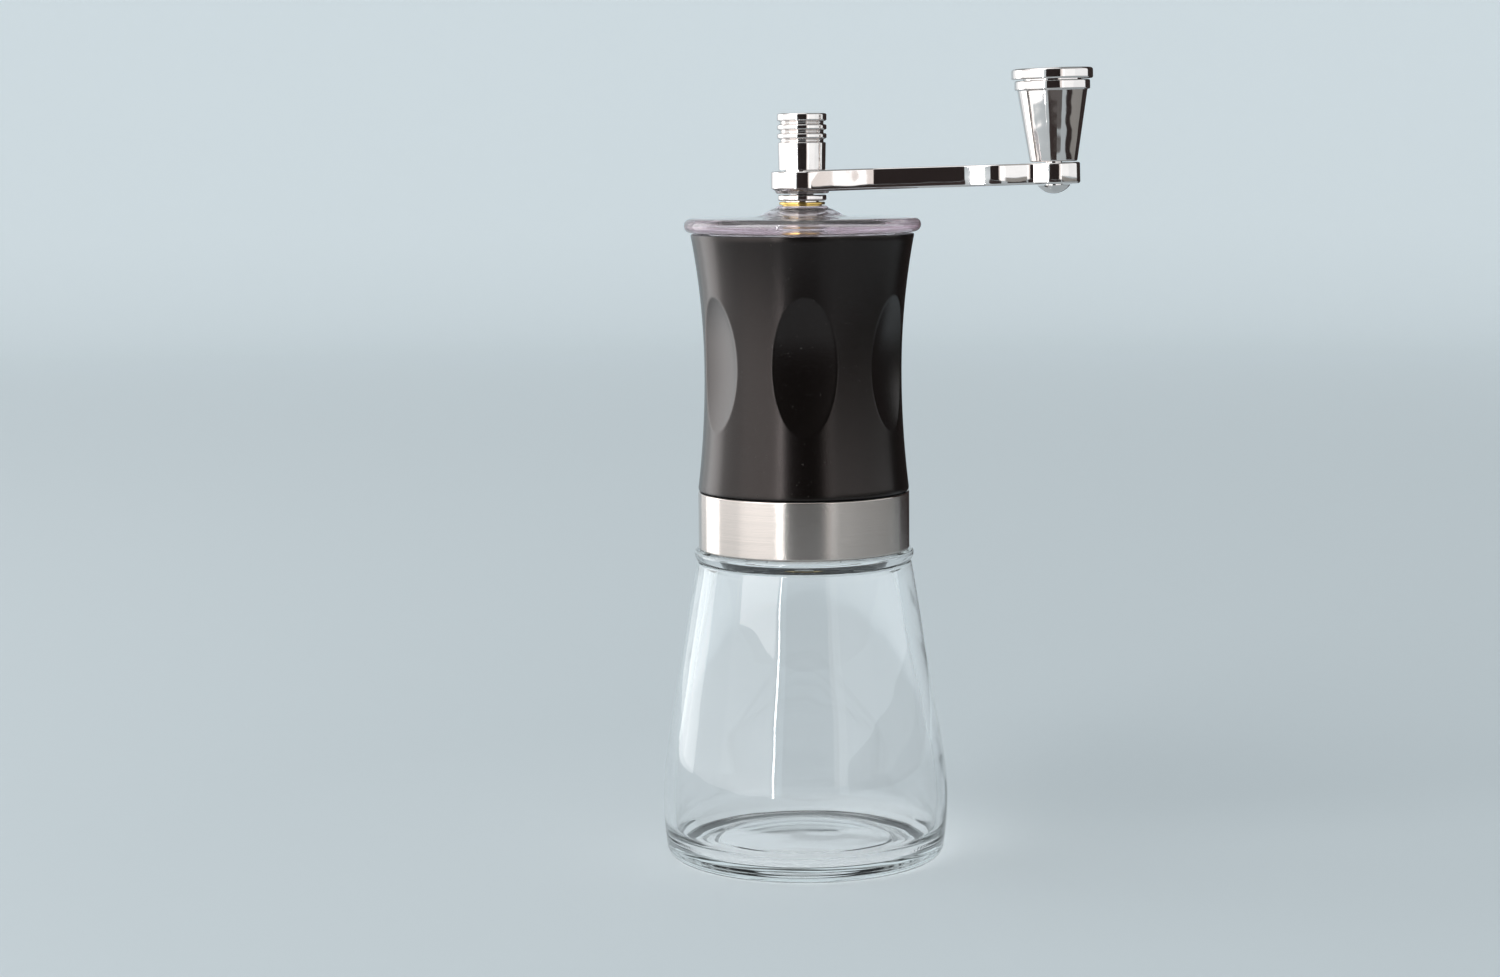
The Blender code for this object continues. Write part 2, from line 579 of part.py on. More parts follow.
def body_levels(bottom, top, count):
    return [bottom + (top - bottom) * i / count for i in range(count + 1)]


def shell_bore(height):
    return body_radius(height) - BODY_WALL


def dimple_cutter(name, angle):
    """A shallow lens that leaves a thumb dimple, lying on the body at the given bearing."""
    middle = BODY_BOTTOM + DIMPLE_HEIGHT
    floor = body_radius(middle) - DIMPLE_DEPTH
    rings = [DIMPLE_LENS * k / 5 for k in range(1, 6)]
    outline = [(0.0, 0.0)] + [(r, DIMPLE_CURVE - sqrt(DIMPLE_CURVE ** 2 - r ** 2)) for r in rings]
    outline.append((0.0, outline[-1][1] + DIMPLE_DEPTH))
    cutter = add_object(name, turned_shape(outline, MEDIUM), None)
    cutter.matrix_world = (Matrix.Rotation(angle, 4, "Z") @ Matrix.Translation((floor, 0.0, middle))
                           @ Matrix.Rotation(pi / 2, 4, "Y"))
    return cutter


def make_body(finish, parent):
    outside = [(body_radius(z), z) for z in body_levels(BODY_BOTTOM, BODY_TOP, 8)]
    ledge = shell_bore(LEDGE_Z) + HOPPER_LEDGE + FIT
    inside = [(shell_bore(z), z) for z in body_levels(SHELL_SEAT_TOP, LEDGE_Z, 5)]
    outline = outside + [(ledge, BODY_TOP), (ledge, LEDGE_Z)] + inside[::-1]
    outline += [(SHELL_SEAT, SHELL_SEAT_TOP), (SHELL_SEAT, BODY_BOTTOM)]
    body = turned("body_shell", outline, finish["body_plastic"], parent, steps=DIMPLE_FACETS * DIMPLES)
    for i in range(DIMPLES):
        cut(body, dimple_cutter(f"dimple_guide_{i}", tau * i / DIMPLES - pi / 2))


# ------------------------------------------------------------------ hopper and bridges
def hopper_radius(height):
    """Outer radius of the hopper: it follows the body's wall, then narrows to the burr's seat."""
    if height >= FUNNEL_TOP:
        return shell_bore(height) - FIT
    share = (height - SHELF_BOTTOM) / FUNNEL_HEIGHT
    return SOCKET_RADIUS + (shell_bore(FUNNEL_TOP) - FIT - SOCKET_RADIUS) * max(0.0, share)


def hopper_bore(height):
    """Inner radius: the wall's thickness inside, and a steeper slope over the burr."""
    if height >= FUNNEL_TOP:
        return hopper_radius(height) - HOPPER_WALL
    share = (height - SHELF_BOTTOM - HOPPER_SHELF) / (FUNNEL_HEIGHT - HOPPER_SHELF)
    return MOUTH_RADIUS + (hopper_radius(FUNNEL_TOP) - HOPPER_WALL - MOUTH_RADIUS) * max(0.0, share)


def make_hopper(finish, parent):
    levels = body_levels(FUNNEL_TOP, LEDGE_Z, 4)
    flange = hopper_radius(LEDGE_Z) + HOPPER_LEDGE + FIT
    outside = [(SOCKET_RADIUS, BURR_BOTTOM), (SOCKET_RADIUS, SHELF_BOTTOM)]
    outside += [(hopper_radius(z), z) for z in levels]
    rim = LEDGE_Z + FIT
    top = [(hopper_radius(LEDGE_Z), rim), (flange, rim), (flange, HOPPER_TOP),
           (hopper_bore(LEDGE_Z), HOPPER_TOP)]
    inside = [(hopper_bore(z), z) for z in reversed(levels)]
    seat = [(MOUTH_RADIUS, SHELF_BOTTOM + HOPPER_SHELF), (MOUTH_RADIUS, SHELF_BOTTOM),
            (SOCKET_BORE, SHELF_BOTTOM), (SOCKET_BORE, BURR_BOTTOM)]
    turned("hopper", outside + top + inside + seat, finish["inner_plastic"], parent)


def make_bridge(name, bottom, top, finish, parent):
    """A ring that rests on the hopper's wall, with arms that carry a hub for the shaft's bush."""
    low, high = hopper_bore(bottom) - FIT, hopper_bore(top) - FIT
    ring_outline = [(low, bottom), (high, top), (high - BRIDGE_RING_WALL, top),
                    (low - BRIDGE_RING_WALL, bottom)]
    bridge = turned(name, ring_outline, finish["inner_plastic"], parent)
    overlap = BRIDGE_HUB_WALL / 2
    near, far = BRIDGE_BORE + overlap, low - BRIDGE_RING_WALL / 2
    half = BRIDGE_ARM_WIDTH / 2
    for i in range(BRIDGE_ARMS):
        arm = prism(f"{name}_arm_guide_{i}", [(near, -half), (far, -half), (far, half), (near, half)],
                    bottom + BRIDGE_ARM_STEP, top - BRIDGE_ARM_STEP)
        arm.rotation_euler.z = tau * i / BRIDGE_ARMS + pi / 2
        join(bridge, arm)
    hub_outline = [(BRIDGE_BORE, bottom), (BRIDGE_HUB_RADIUS, bottom),
                   (BRIDGE_HUB_RADIUS, top), (BRIDGE_BORE, top)]
    join(bridge, turned(f"{name}_hub_guide", hub_outline, None, steps=MEDIUM))


def make_bush(name, tube_end, seat, outwards, finish, parent):
    """A flanged bush: its flange lies on the bridge at seat, and its tube reaches to tube_end."""
    face = seat + outwards * FIT
    outer = face + outwards * BUSH_FLANGE_THICKNESS
    outline = [(JOURNAL_BORE, tube_end), (BUSH_RADIUS, tube_end), (BUSH_RADIUS, face),
               (BRIDGE_BORE + BUSH_FLANGE, face), (BRIDGE_BORE + BUSH_FLANGE, outer),
               (JOURNAL_BORE, outer)]
    turned(name, outline, finish["brass"], parent, steps=SMALL)


def make_bridges(finish, parent):
    make_bridge("upper_bridge", UPPER_BRIDGE_BOTTOM, UPPER_BRIDGE_TOP, finish, parent)
    make_bush("upper_bush", UPPER_BRIDGE_BOTTOM, UPPER_BRIDGE_TOP, 1, finish, parent)
    make_bridge("lower_bridge", LOWER_BRIDGE_BOTTOM, LOWER_BRIDGE_TOP, finish, parent)
    make_bush("lower_bush", LOWER_BRIDGE_TOP, LOWER_BRIDGE_BOTTOM, -1, finish, parent)


# ------------------------------------------------------------------ burrs
def toothed(crest, depth, turn):
    """Saw teeth round a circle: each rises slowly and drops fast, crest outermost."""
    def radius_at(angle):
        share = ((angle + turn) * BURR_TEETH / tau) % 1.0
        return crest - depth * (share if share < 0.75 else (1.0 - share) * 3)
    return radius_at


def make_outer_burr(finish, parent):
    outline = [(0.0, BURR_BOTTOM), (OUTER_BURR_RADIUS, BURR_BOTTOM), (OUTER_BURR_RADIUS, BURR_TOP),
               (0.0, BURR_TOP)]
    burr = turned("outer_burr", outline, finish["ceramic"], parent)
    land_top = BURR_BOTTOM + BURR_LAND
    waist = BURR_LAND_RADIUS - BURR_LAND_FLARE
    mouth = BURR_LAND_RADIUS - BURR_MOUTH_CLOSE
    stations = [(BURR_BOTTOM - OVERRUN, BURR_LAND_RADIUS), (BURR_BOTTOM, BURR_LAND_RADIUS),
                (land_top, waist), (BURR_TOP, mouth), (BURR_TOP + OVERRUN, mouth)]
    loops = []
    for height, clear in stations:
        turn = BURR_TWIST * (height - BURR_BOTTOM) / OUTER_BURR_HEIGHT
        loops.append(loop_at(height, toothed(clear + BURR_TOOTH_DEPTH, BURR_TOOTH_DEPTH, turn),
                             4 * BURR_TEETH))
    cut(burr, lofted("outer_burr_teeth_guide", loops, None))


def make_inner_burr(finish, parent):
    land_top = INNER_BURR_BOTTOM + BURR_LAND
    stations = [(INNER_BURR_BOTTOM, INNER_BURR_RADIUS - BURR_TOOTH_DEPTH),
                (INNER_BURR_BOTTOM + INNER_BURR_HANGS, INNER_BURR_RADIUS),
                (land_top + INNER_BURR_HANGS, INNER_BURR_RADIUS - BURR_LAND_FLARE)]
    low, wide = stations[-1]
    rungs = 3
    for share in (i / rungs for i in range(1, rungs + 1)):
        stations.append((low + (INNER_BURR_TOP - low) * share, wide + (INNER_BURR_TIP - wide) * share))
    loops = []
    for height, crest in stations:
        turn = -BURR_TWIST * (height - INNER_BURR_BOTTOM) / OUTER_BURR_HEIGHT
        depth = min(BURR_TOOTH_DEPTH, (crest - INNER_BURR_BORE) / 2)
        loops.append(loop_at(height, toothed(crest, depth, turn), 4 * BURR_TEETH))
    burr = lofted("inner_burr", loops, finish["ceramic"], parent)
    cut(burr, round_cutter("inner_burr_bore_guide", INNER_BURR_BORE, INNER_BURR_BOTTOM - OVERRUN,
                           INNER_BURR_TOP + OVERRUN))


def make_carrier(finish, parent):
    plate = INNER_BURR_RADIUS - CARRIER_RIM
    edge = CARRIER_PLATE / 4
    outline = [(0.0, CARRIER_BOTTOM), (plate - edge, CARRIER_BOTTOM), (plate, CARRIER_BOTTOM + edge),
               (plate, CARRIER_TOP), (CARRIER_HUB_RADIUS, CARRIER_TOP),
               (CARRIER_HUB_RADIUS, CARRIER_HUB_TOP), (0.0, CARRIER_HUB_TOP)]
    carrier = turned("burr_carrier", outline, finish["inner_plastic"], parent, steps=MEDIUM)
    cut(carrier, hex_cutter("carrier_hex_guide", HEX_FLAT + FIT, CARRIER_BOTTOM - OVERRUN,
                            CARRIER_HUB_TOP + OVERRUN))


def make_retainer(finish, parent):
    step = WEB_BOTTOM - FIT
    outline = [(RETAINER_BORE, RETAINER_BOTTOM), (RETAINER_FLANGE_RADIUS, RETAINER_BOTTOM),
               (RETAINER_FLANGE_RADIUS, step), (SOCKET_RADIUS, step), (SOCKET_RADIUS, RETAINER_TOP),
               (RETAINER_BORE, RETAINER_TOP)]
    retainer = turned("burr_retainer", outline, finish["inner_plastic"], parent)
    for i in range(RETAINER_NOTCHES):
        angle = tau * (i + 0.5) / RETAINER_NOTCHES
        notch = round_cutter(f"retainer_notch_guide_{i}", RETAINER_NOTCH, RETAINER_BOTTOM - OVERRUN,
                             step - RETAINER_FLANGE / 3)
        notch.location = (RETAINER_BORE * cos(angle), RETAINER_BORE * sin(angle), 0.0)
        cut(retainer, notch)


# ------------------------------------------------------------------ grind adjuster
def make_click_plate(finish, parent):
    radius = NUT_RADIUS + CLICK_PLATE_RIM

    def notched(angle):
        return radius - (CLICK_NOTCH if round(angle * 4 * CLICK_NOTCHES / tau) % 4 == 0 else 0.0)

    loops = [loop_at(z, notched, 4 * CLICK_NOTCHES) for z in (CLICK_BOTTOM, CLICK_TOP)]
    plate = lofted("click_plate", loops, finish["plain_steel"], parent)
    cut(plate, hex_cutter("click_plate_hex_guide", HEX_FLAT + FIT, CLICK_BOTTOM - OVERRUN,
                          CLICK_TOP + OVERRUN))


def make_wheel(finish, parent):
    def fluted(angle):
        return WHEEL_RADIUS - WHEEL_LOBE_DEPTH * (1 - cos(WHEEL_LOBES * angle)) / 2

    def inset(amount):
        return lambda angle: fluted(angle) - amount

    steps = 8 * WHEEL_LOBES
    stations = [(WHEEL_BOTTOM, inset(WHEEL_EDGE)), (WHEEL_BOTTOM + WHEEL_EDGE, fluted),
                (WHEEL_TOP - WHEEL_EDGE, fluted), (WHEEL_TOP, inset(WHEEL_EDGE))]
    wheel = lofted("adjusting_wheel", [loop_at(z, shape, steps) for z, shape in stations],
                   finish["inner_plastic"], parent)
    cut(wheel, hex_cutter("wheel_hex_guide", NUT_FLAT + FIT, WHEEL_BOTTOM - OVERRUN, WHEEL_TOP + OVERRUN))
    dish = WHEEL_RADIUS - WHEEL_LOBE_DEPTH - WHEEL_RIM
    cut(wheel, round_cutter("wheel_dish_guide", dish, WHEEL_BOTTOM - OVERRUN, WHEEL_BOTTOM + WHEEL_RECESS,
                            steps=MEDIUM))


def make_wheel_nut(finish, parent):
    bottom, top = WHEEL_BOTTOM + WHEEL_RECESS / 2, WHEEL_TOP - FIT
    nut = lofted("wheel_nut", [loop_at(z, hexagon(NUT_FLAT), 6) for z in (bottom, top)],
                 finish["brass"], parent)
    cut(nut, round_cutter("nut_bore_guide", NUT_BORE, bottom - OVERRUN, top + OVERRUN))


# ------------------------------------------------------------------ shaft, clip and spring
def make_shaft(finish, parent):
    tail = SHAFT_TAIL_RADIUS
    groove = SHAFT_RADIUS - CLIP_GROOVE
    stations = [
        (SHAFT_BOTTOM, circle(tail - SHAFT_CHAMFER)), (SHAFT_BOTTOM + SHAFT_CHAMFER, circle(tail)),
        (CLICK_BOTTOM, circle(tail)), (CLICK_BOTTOM, hexagon(HEX_FLAT)),
        (JOURNAL_BOTTOM, hexagon(HEX_FLAT)), (JOURNAL_BOTTOM, circle(SHAFT_RADIUS)),
        (CLIP_BOTTOM - FIT, circle(SHAFT_RADIUS)), (CLIP_BOTTOM - FIT, circle(groove)),
        (CLIP_TOP + FIT, circle(groove)), (CLIP_TOP + FIT, circle(SHAFT_RADIUS)),
        (HEX_BOTTOM, circle(SHAFT_RADIUS)), (HEX_BOTTOM, hexagon(HEX_FLAT)),
        (SHAFT_TOP - SHAFT_CHAMFER, hexagon(HEX_FLAT)),
        (SHAFT_TOP, hexagon(HEX_FLAT - SHAFT_CHAMFER)),
    ]
    # A step in the shaft is a cone too short to see, so that a corner of the hexagon
    # and the round beside it never share a point.
    settle = FIT / 2
    loops = []
    for i, (height, shape) in enumerate(stations):
        stepped = i > 0 and stations[i - 1][0] == height
        loops.append(loop_at(height + (settle if stepped else 0.0), shape, SMALL))
    lofted("drive_shaft", loops, finish["plain_steel"], parent)


def make_clip(finish, parent):
    inner, outer = SHAFT_RADIUS - CLIP_GROOVE + FIT, SHAFT_RADIUS - CLIP_GROOVE + FIT + CLIP_WIDTH
    bow = arc((0.0, 0.0), outer, CLIP_OPENING, tau - CLIP_OPENING, SMALL)
    bow += arc((0.0, 0.0), inner, tau - CLIP_OPENING, CLIP_OPENING, SMALL)
    prism("shaft_clip", bow, CLIP_BOTTOM, CLIP_TOP, finish["plain_steel"], parent)


def make_spring(finish, parent):
    """A coil of round wire, from its seat washer up to the lower bush."""
    low, high = SPRING_BOTTOM + SPRING_WIRE, SPRING_TOP - SPRING_WIRE
    steps = SPRING_TURN_FACETS * SPRING_TURNS
    climb = (high - low) / (tau * SPRING_TURNS)
    loops = []
    for i in range(steps + 1):
        angle = tau * SPRING_TURNS * i / steps
        centre = Vector((SPRING_RADIUS * cos(angle), SPRING_RADIUS * sin(angle), low + climb * angle))
        outward = Vector((cos(angle), sin(angle), 0.0))
        along = Vector((-SPRING_RADIUS * sin(angle), SPRING_RADIUS * cos(angle), climb)).normalized()
        upward = outward.cross(along).normalized()
        loops.append([centre + SPRING_WIRE * (cos(t) * outward + sin(t) * upward)
                      for t in (tau * k / SPRING_WIRE_FACETS for k in range(SPRING_WIRE_FACETS))])
    lofted("preload_spring", loops, finish["plain_steel"], parent)


def make_spring_washer(finish, parent):
    inner = SHAFT_RADIUS + RUN
    outer = INNER_BURR_BORE - RUN
    top = WASHER_BOTTOM + SPRING_WASHER
    turned("spring_washer", [(inner, WASHER_BOTTOM), (outer, WASHER_BOTTOM), (outer, top), (inner, top)],
           finish["plain_steel"], parent, steps=SMALL)


# ------------------------------------------------------------------ lid
def make_lid(finish, parent):
    """Clear lid: rounded rim, gently domed plate, skirt inside the hopper and a flared neck."""
    skirt_outer = hopper_bore(LEDGE_Z) - FIT
    skirt_inner = skirt_outer - LID_SKIRT_WALL
    foot = LID_NECK_RADIUS + LID_NECK_FOOT
    rim = LID_RADIUS
    half = LID_RIM / 2
    rim_arc = arc((rim - half, LID_BOTTOM + half), half, -1.1, 1.25, 5)
    plate_edge = rim - LID_RIM
    under = LID_RIM_TOP - LID_PLATE
    outline = [
        (LID_BORE, LID_TOP), (LID_BORE, LID_NECK_BOTTOM - LID_NECK / 2),
        (foot - LID_NECK_WALL, LID_NECK_BOTTOM - LID_PLATE), (skirt_inner, under),
        (skirt_inner, BODY_TOP - LID_SKIRT), (skirt_outer, BODY_TOP - LID_SKIRT), (skirt_outer, LID_BOTTOM),
    ]
    outline += rim_arc
    outline += [(plate_edge, LID_RIM_TOP), (foot, LID_NECK_BOTTOM),
                ((foot + LID_NECK_RADIUS) / 2, LID_NECK_BOTTOM + LID_NECK / 3), (LID_NECK_RADIUS, LID_TOP)]
    turned("lid", outline, finish["clear_plastic"], parent)


def make_lid_bush(finish, parent):
    top = LID_BUSH_BOTTOM + LID_BUSH_THICKNESS
    flange = LID_BUSH_RADIUS + LID_BUSH_FLANGE
    low = LID_BUSH_BOTTOM - LID_BUSH_DEPTH
    outline = [(LID_BUSH_BORE, low), (LID_BUSH_RADIUS, low), (LID_BUSH_RADIUS, LID_BUSH_BOTTOM),
               (flange, LID_BUSH_BOTTOM), (flange, top), (LID_BUSH_BORE, top)]
    turned("lid_bush", outline, finish["brass"], parent, steps=MEDIUM)


# ------------------------------------------------------------------ crank
def make_collar(finish, parent):
    bore = SHAFT_RADIUS + FIT
    low = CLIP_TOP + FIT
    outline = [(bore, low), (COLLAR_SLEEVE_RADIUS, low), (COLLAR_SLEEVE_RADIUS, COLLAR_BOTTOM),
               (COLLAR_RADIUS, COLLAR_BOTTOM), (COLLAR_RADIUS, COLLAR_TOP), (bore, COLLAR_TOP)]
    turned("crank_collar", outline, finish["chrome"], parent, steps=MEDIUM)


def arm_outline():
    """Plan of the arm from inside the hub out: taper, waist, slight flare, fillet and round eye."""
    eye = (ARM_LENGTH, 0.0)
    rise = ARM_END + ARM_FILLET
    fillet_x = ARM_LENGTH - sqrt(max(0.0, (EYE_RADIUS + ARM_FILLET) ** 2 - rise ** 2))
    meet = atan2(rise, fillet_x - ARM_LENGTH)
    upper = [(0.0, ARM_ROOT), (ARM_TAPER_END, ARM_WAIST), (ARM_WAIST_END, ARM_WAIST)]
    upper += arc((fillet_x, rise), ARM_FILLET, -pi / 2, meet - pi, 5)
    eye_arc = arc(eye, EYE_RADIUS, meet, -meet, 18)[1:-1]
    lower = [(x, -y) for x, y in reversed(upper)]
    return upper + eye_arc + lower


def make_arm(finish, parent):
    chamfer_top = HUB_BOTTOM + HUB_CHAMFER_HEIGHT
    hub_outline = [(0.0, HUB_BOTTOM), (HUB_RADIUS - HUB_CHAMFER, HUB_BOTTOM), (HUB_RADIUS, chamfer_top),
                   (HUB_RADIUS, HUB_TOP - ARM_EDGE / 2), (HUB_RADIUS - ARM_EDGE / 2, HUB_TOP),
                   (0.0, HUB_TOP)]
    arm = turned("crank_arm", hub_outline, finish["chrome"], parent, steps=LARGE)
    lever = prism("arm_lever_guide", arm_outline(), -ARM_THICKNESS / 2, ARM_THICKNESS / 2)
    lever.matrix_world = Matrix.Translation((0.0, 0.0, ARM_Z)) @ ARM_TILT
    bevel(lever, ARM_EDGE, segments=2)
    join(arm, lever)
    cut(arm, round_cutter("hub_bore_guide", HUB_BORE, HUB_BOTTOM - OVERRUN, HUB_TOP + ARM_THICKNESS))
    cut(arm, round_cutter("column_seat_guide", COLUMN_RADIUS + 2 * FIT, HUB_TOP, HUB_TOP + ARM_THICKNESS,
                          steps=MEDIUM))
    eye = round_cutter("eye_bore_guide", EYE_BORE, -ARM_THICKNESS, ARM_THICKNESS)
    eye.matrix_world = knob_frame()
    cut(arm, eye)


def knob_frame():
    """Where the knob's axis crosses the middle of the eye, square to the tilted arm."""
    return (Matrix.Translation((0.0, 0.0, ARM_Z)) @ ARM_TILT
            @ Matrix.Translation((ARM_LENGTH, 0.0, 0.0)))


def make_socket(finish, parent):
    """Chromed column on the hub, with ring grooves round its head and a six-sided socket inside."""
    low = COLLAR_TOP + 2 * FIT
    outline = [(0.0, low), (SOCKET_TUBE_RADIUS, low), (SOCKET_TUBE_RADIUS, COLUMN_BOTTOM),
               (COLUMN_RADIUS - COLUMN_TAPER, COLUMN_BOTTOM), (COLUMN_RADIUS, COLUMN_TOP)]
    height = COLUMN_TOP
    floor = HEAD_RADIUS - HEAD_GROOVE_DEPTH
    for i in range(HEAD_GROOVES):
        outline += [(floor, height), (floor, height + HEAD_GROOVE), (HEAD_RADIUS, height + HEAD_GROOVE)]
        height += HEAD_GROOVE
        land = HEAD_RIDGE if i < HEAD_GROOVES - 1 else HEAD_BAND
        height += land
        edge = HEAD_GROOVE_DEPTH / 3 if i == HEAD_GROOVES - 1 else 0.0
        outline.append((HEAD_RADIUS, height - edge))
    outline += [(HEAD_RADIUS - HEAD_GROOVE_DEPTH / 3, HEAD_TOP), (0.0, HEAD_TOP)]
    socket = turned("crank_socket", outline, finish["chrome"], parent, steps=MEDIUM)
    cut(socket, hex_cutter("socket_hex_guide", SOCKET_HEX, low - FIT, SOCKET_TOP))


# ------------------------------------------------------------------ knob, in the frame of its pin
def make_knob(finish, parent):
    bore = PIN_RADIUS + RUN
    cavity = KNOB_FOOT - KNOB_WALL / 2
    outline = [(bore, KNOB_BOTTOM), (KNOB_FOOT, KNOB_BOTTOM), (KNOB_CONE, KNOB_BAND_BOTTOM),
               (KNOB_BAND_RADIUS, KNOB_BAND_BOTTOM), (KNOB_BAND_RADIUS, KNOB_BAND_TOP),
               (KNOB_MOUTH, KNOB_BAND_TOP), (cavity, KNOB_BOTTOM + KNOB_WEB),
               (bore, KNOB_BOTTOM + KNOB_WEB)]
    turned("knob", outline, finish["chrome"], parent, steps=MEDIUM)


def make_knob_cap(finish, parent):
    bottom = KNOB_BAND_TOP + FIT
    top = bottom + CAP_HEIGHT
    radius = KNOB_BAND_RADIUS + CAP_STEP
    plug = KNOB_MOUTH - CAP_PLUG * (KNOB_MOUTH - KNOB_FOOT) / KNOB_CONE_HEIGHT - 2 * FIT
    outline = [(0.0, bottom - CAP_PLUG), (plug, bottom - CAP_PLUG), (plug, bottom), (radius, bottom),
               (radius, top - CAP_EDGE), (radius - CAP_EDGE, top), (0.0, top)]
    turned("knob_cap", outline, finish["chrome"], parent, steps=MEDIUM)


def make_knob_pin(finish, parent):
    """Rivet through the eye: domed head below, and a head over the knob's solid foot."""
    face = -ARM_THICKNESS / 2 - FIT
    curve = (PIN_DOME ** 2 + PIN_DOME_HEIGHT ** 2) / (2 * PIN_DOME_HEIGHT)
    sweep = atan2(PIN_DOME, curve - PIN_DOME_HEIGHT)
    dome = arc((0.0, face - PIN_DOME_HEIGHT + curve), curve, -pi / 2, sweep - pi / 2, 4)
    neck = KNOB_BOTTOM + KNOB_WEB + RUN
    head = PIN_RADIUS + PIN_HEAD_STEP
    outline = [(0.0, dome[0][1])] + dome[1:]
    outline += [(PIN_RADIUS, face), (PIN_RADIUS, neck), (head, neck), (head, neck + PIN_HEAD / 2),
                (head - PIN_HEAD / 2, neck + PIN_HEAD), (0.0, neck + PIN_HEAD)]
    turned("knob_pin", outline, finish["chrome"], parent, steps=SMALL)


# ------------------------------------------------------------------ the whole grinder
def main():
    for old in list(bpy.data.objects):
        bpy.data.objects.remove(old, do_unlink=True)
    finish = make_materials()

    make_jar(finish)

    jar_axis = empty("jar_thread_axis", (0.0, 0.0, 0.0))
    make_gasket(finish, jar_axis)
    make_coupling(finish, jar_axis)
    make_band(finish, jar_axis)
    make_body(finish, jar_axis)
    make_hopper(finish, jar_axis)
    make_bridges(finish, jar_axis)
    make_outer_burr(finish, jar_axis)
    make_retainer(finish, jar_axis)

    shaft_axis = empty("shaft_axis", (0.0, 0.0, 0.0), jar_axis)
    make_shaft(finish, shaft_axis)
    make_clip(finish, shaft_axis)
    make_spring(finish, shaft_axis)

    burr_axis = empty("burr_slide_axis", (0.0, 0.0, 0.0), shaft_axis)
    make_inner_burr(finish, burr_axis)
    make_carrier(finish, burr_axis)
    make_spring_washer(finish, burr_axis)
    make_click_plate(finish, burr_axis)

    wheel_axis = empty("adjuster_axis", (0.0, 0.0, 0.0), burr_axis)
    make_wheel(finish, wheel_axis)
    make_wheel_nut(finish, wheel_axis)

    lid_axis = empty("lid_axis", (0.0, 0.0, 0.0), jar_axis)
    make_lid(finish, lid_axis)
    make_lid_bush(finish, lid_axis)

    crank_axis = empty("crank_axis", (0.0, 0.0, 0.0), shaft_axis)
    make_collar(finish, crank_axis)
    make_arm(finish, crank_axis)
    make_socket(finish, crank_axis)

    knob_axis = empty("knob_axis", (0.0, 0.0, 0.0), crank_axis)
    knob_axis.matrix_local = knob_frame()
    make_knob_pin(finish, knob_axis)
    make_knob(finish, knob_axis)
    make_knob_cap(finish, knob_axis)
    bpy.context.view_layer.update()


main()
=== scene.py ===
# %% [markdown]
# # A hand crank coffee grinder
# Beans go in under a clear lid, a crank on top turns a cone burr inside the black body, and
# the ground coffee falls into a glass jar. The measured model of the grinder is loaded first
# and stays as a fixed frame. Each detailed piece below takes its size from that frame and is
# handed to the part of the mechanism that carries it, so the jar still unscrews and the crank
# still turns.

# %% Load the frame
import json
from math import acos, atan2, ceil, cos, degrees, hypot, pi, radians, sin, sqrt, tan, tau

import bpy
from mathutils import Matrix, Vector


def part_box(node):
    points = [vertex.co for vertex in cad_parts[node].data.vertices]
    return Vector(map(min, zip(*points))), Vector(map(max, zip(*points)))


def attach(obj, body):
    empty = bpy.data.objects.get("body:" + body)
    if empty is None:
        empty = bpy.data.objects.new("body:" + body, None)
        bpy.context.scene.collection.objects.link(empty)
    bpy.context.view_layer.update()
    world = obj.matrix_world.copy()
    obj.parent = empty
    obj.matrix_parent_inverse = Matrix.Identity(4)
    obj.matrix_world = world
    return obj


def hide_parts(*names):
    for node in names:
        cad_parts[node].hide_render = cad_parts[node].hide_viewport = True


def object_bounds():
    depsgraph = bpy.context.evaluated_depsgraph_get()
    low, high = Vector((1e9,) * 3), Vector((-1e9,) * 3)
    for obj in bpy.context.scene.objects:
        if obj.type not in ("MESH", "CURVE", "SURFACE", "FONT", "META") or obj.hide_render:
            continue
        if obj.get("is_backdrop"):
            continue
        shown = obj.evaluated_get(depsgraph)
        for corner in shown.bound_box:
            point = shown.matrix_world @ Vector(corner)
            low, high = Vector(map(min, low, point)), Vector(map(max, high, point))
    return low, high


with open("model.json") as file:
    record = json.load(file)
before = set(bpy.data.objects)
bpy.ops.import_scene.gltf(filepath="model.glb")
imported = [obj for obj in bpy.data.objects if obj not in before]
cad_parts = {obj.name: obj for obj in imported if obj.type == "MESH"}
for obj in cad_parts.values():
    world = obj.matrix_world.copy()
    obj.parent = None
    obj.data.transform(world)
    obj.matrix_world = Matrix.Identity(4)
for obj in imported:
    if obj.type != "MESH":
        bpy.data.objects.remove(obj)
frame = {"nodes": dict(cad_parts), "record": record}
cad_low, cad_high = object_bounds()
MM = 0.001
SLOT_OF = {entry["node"]: entry["material_slot"] for entry in frame["record"]["subparts"]}
BODY_OF = {node: body for body, nodes in frame["record"]["behaviour"]["bodies"].items() for node in nodes}

# %% [markdown]
# ## Camera
# A wide lens close by would swell the knob and narrow the jar's foot. A longer lens from well
# back keeps their true proportions, so the camera stands three quarters of a metre away, a
# little above the lid, and looks a few degrees down. The view transform is Standard, so that
# colours come out as they are written. Light that bounces inside glass counts as glossy, and
# the usual limit of four such bounces leaves black bands in the jar's thick foot, so the limit
# goes up to twelve.

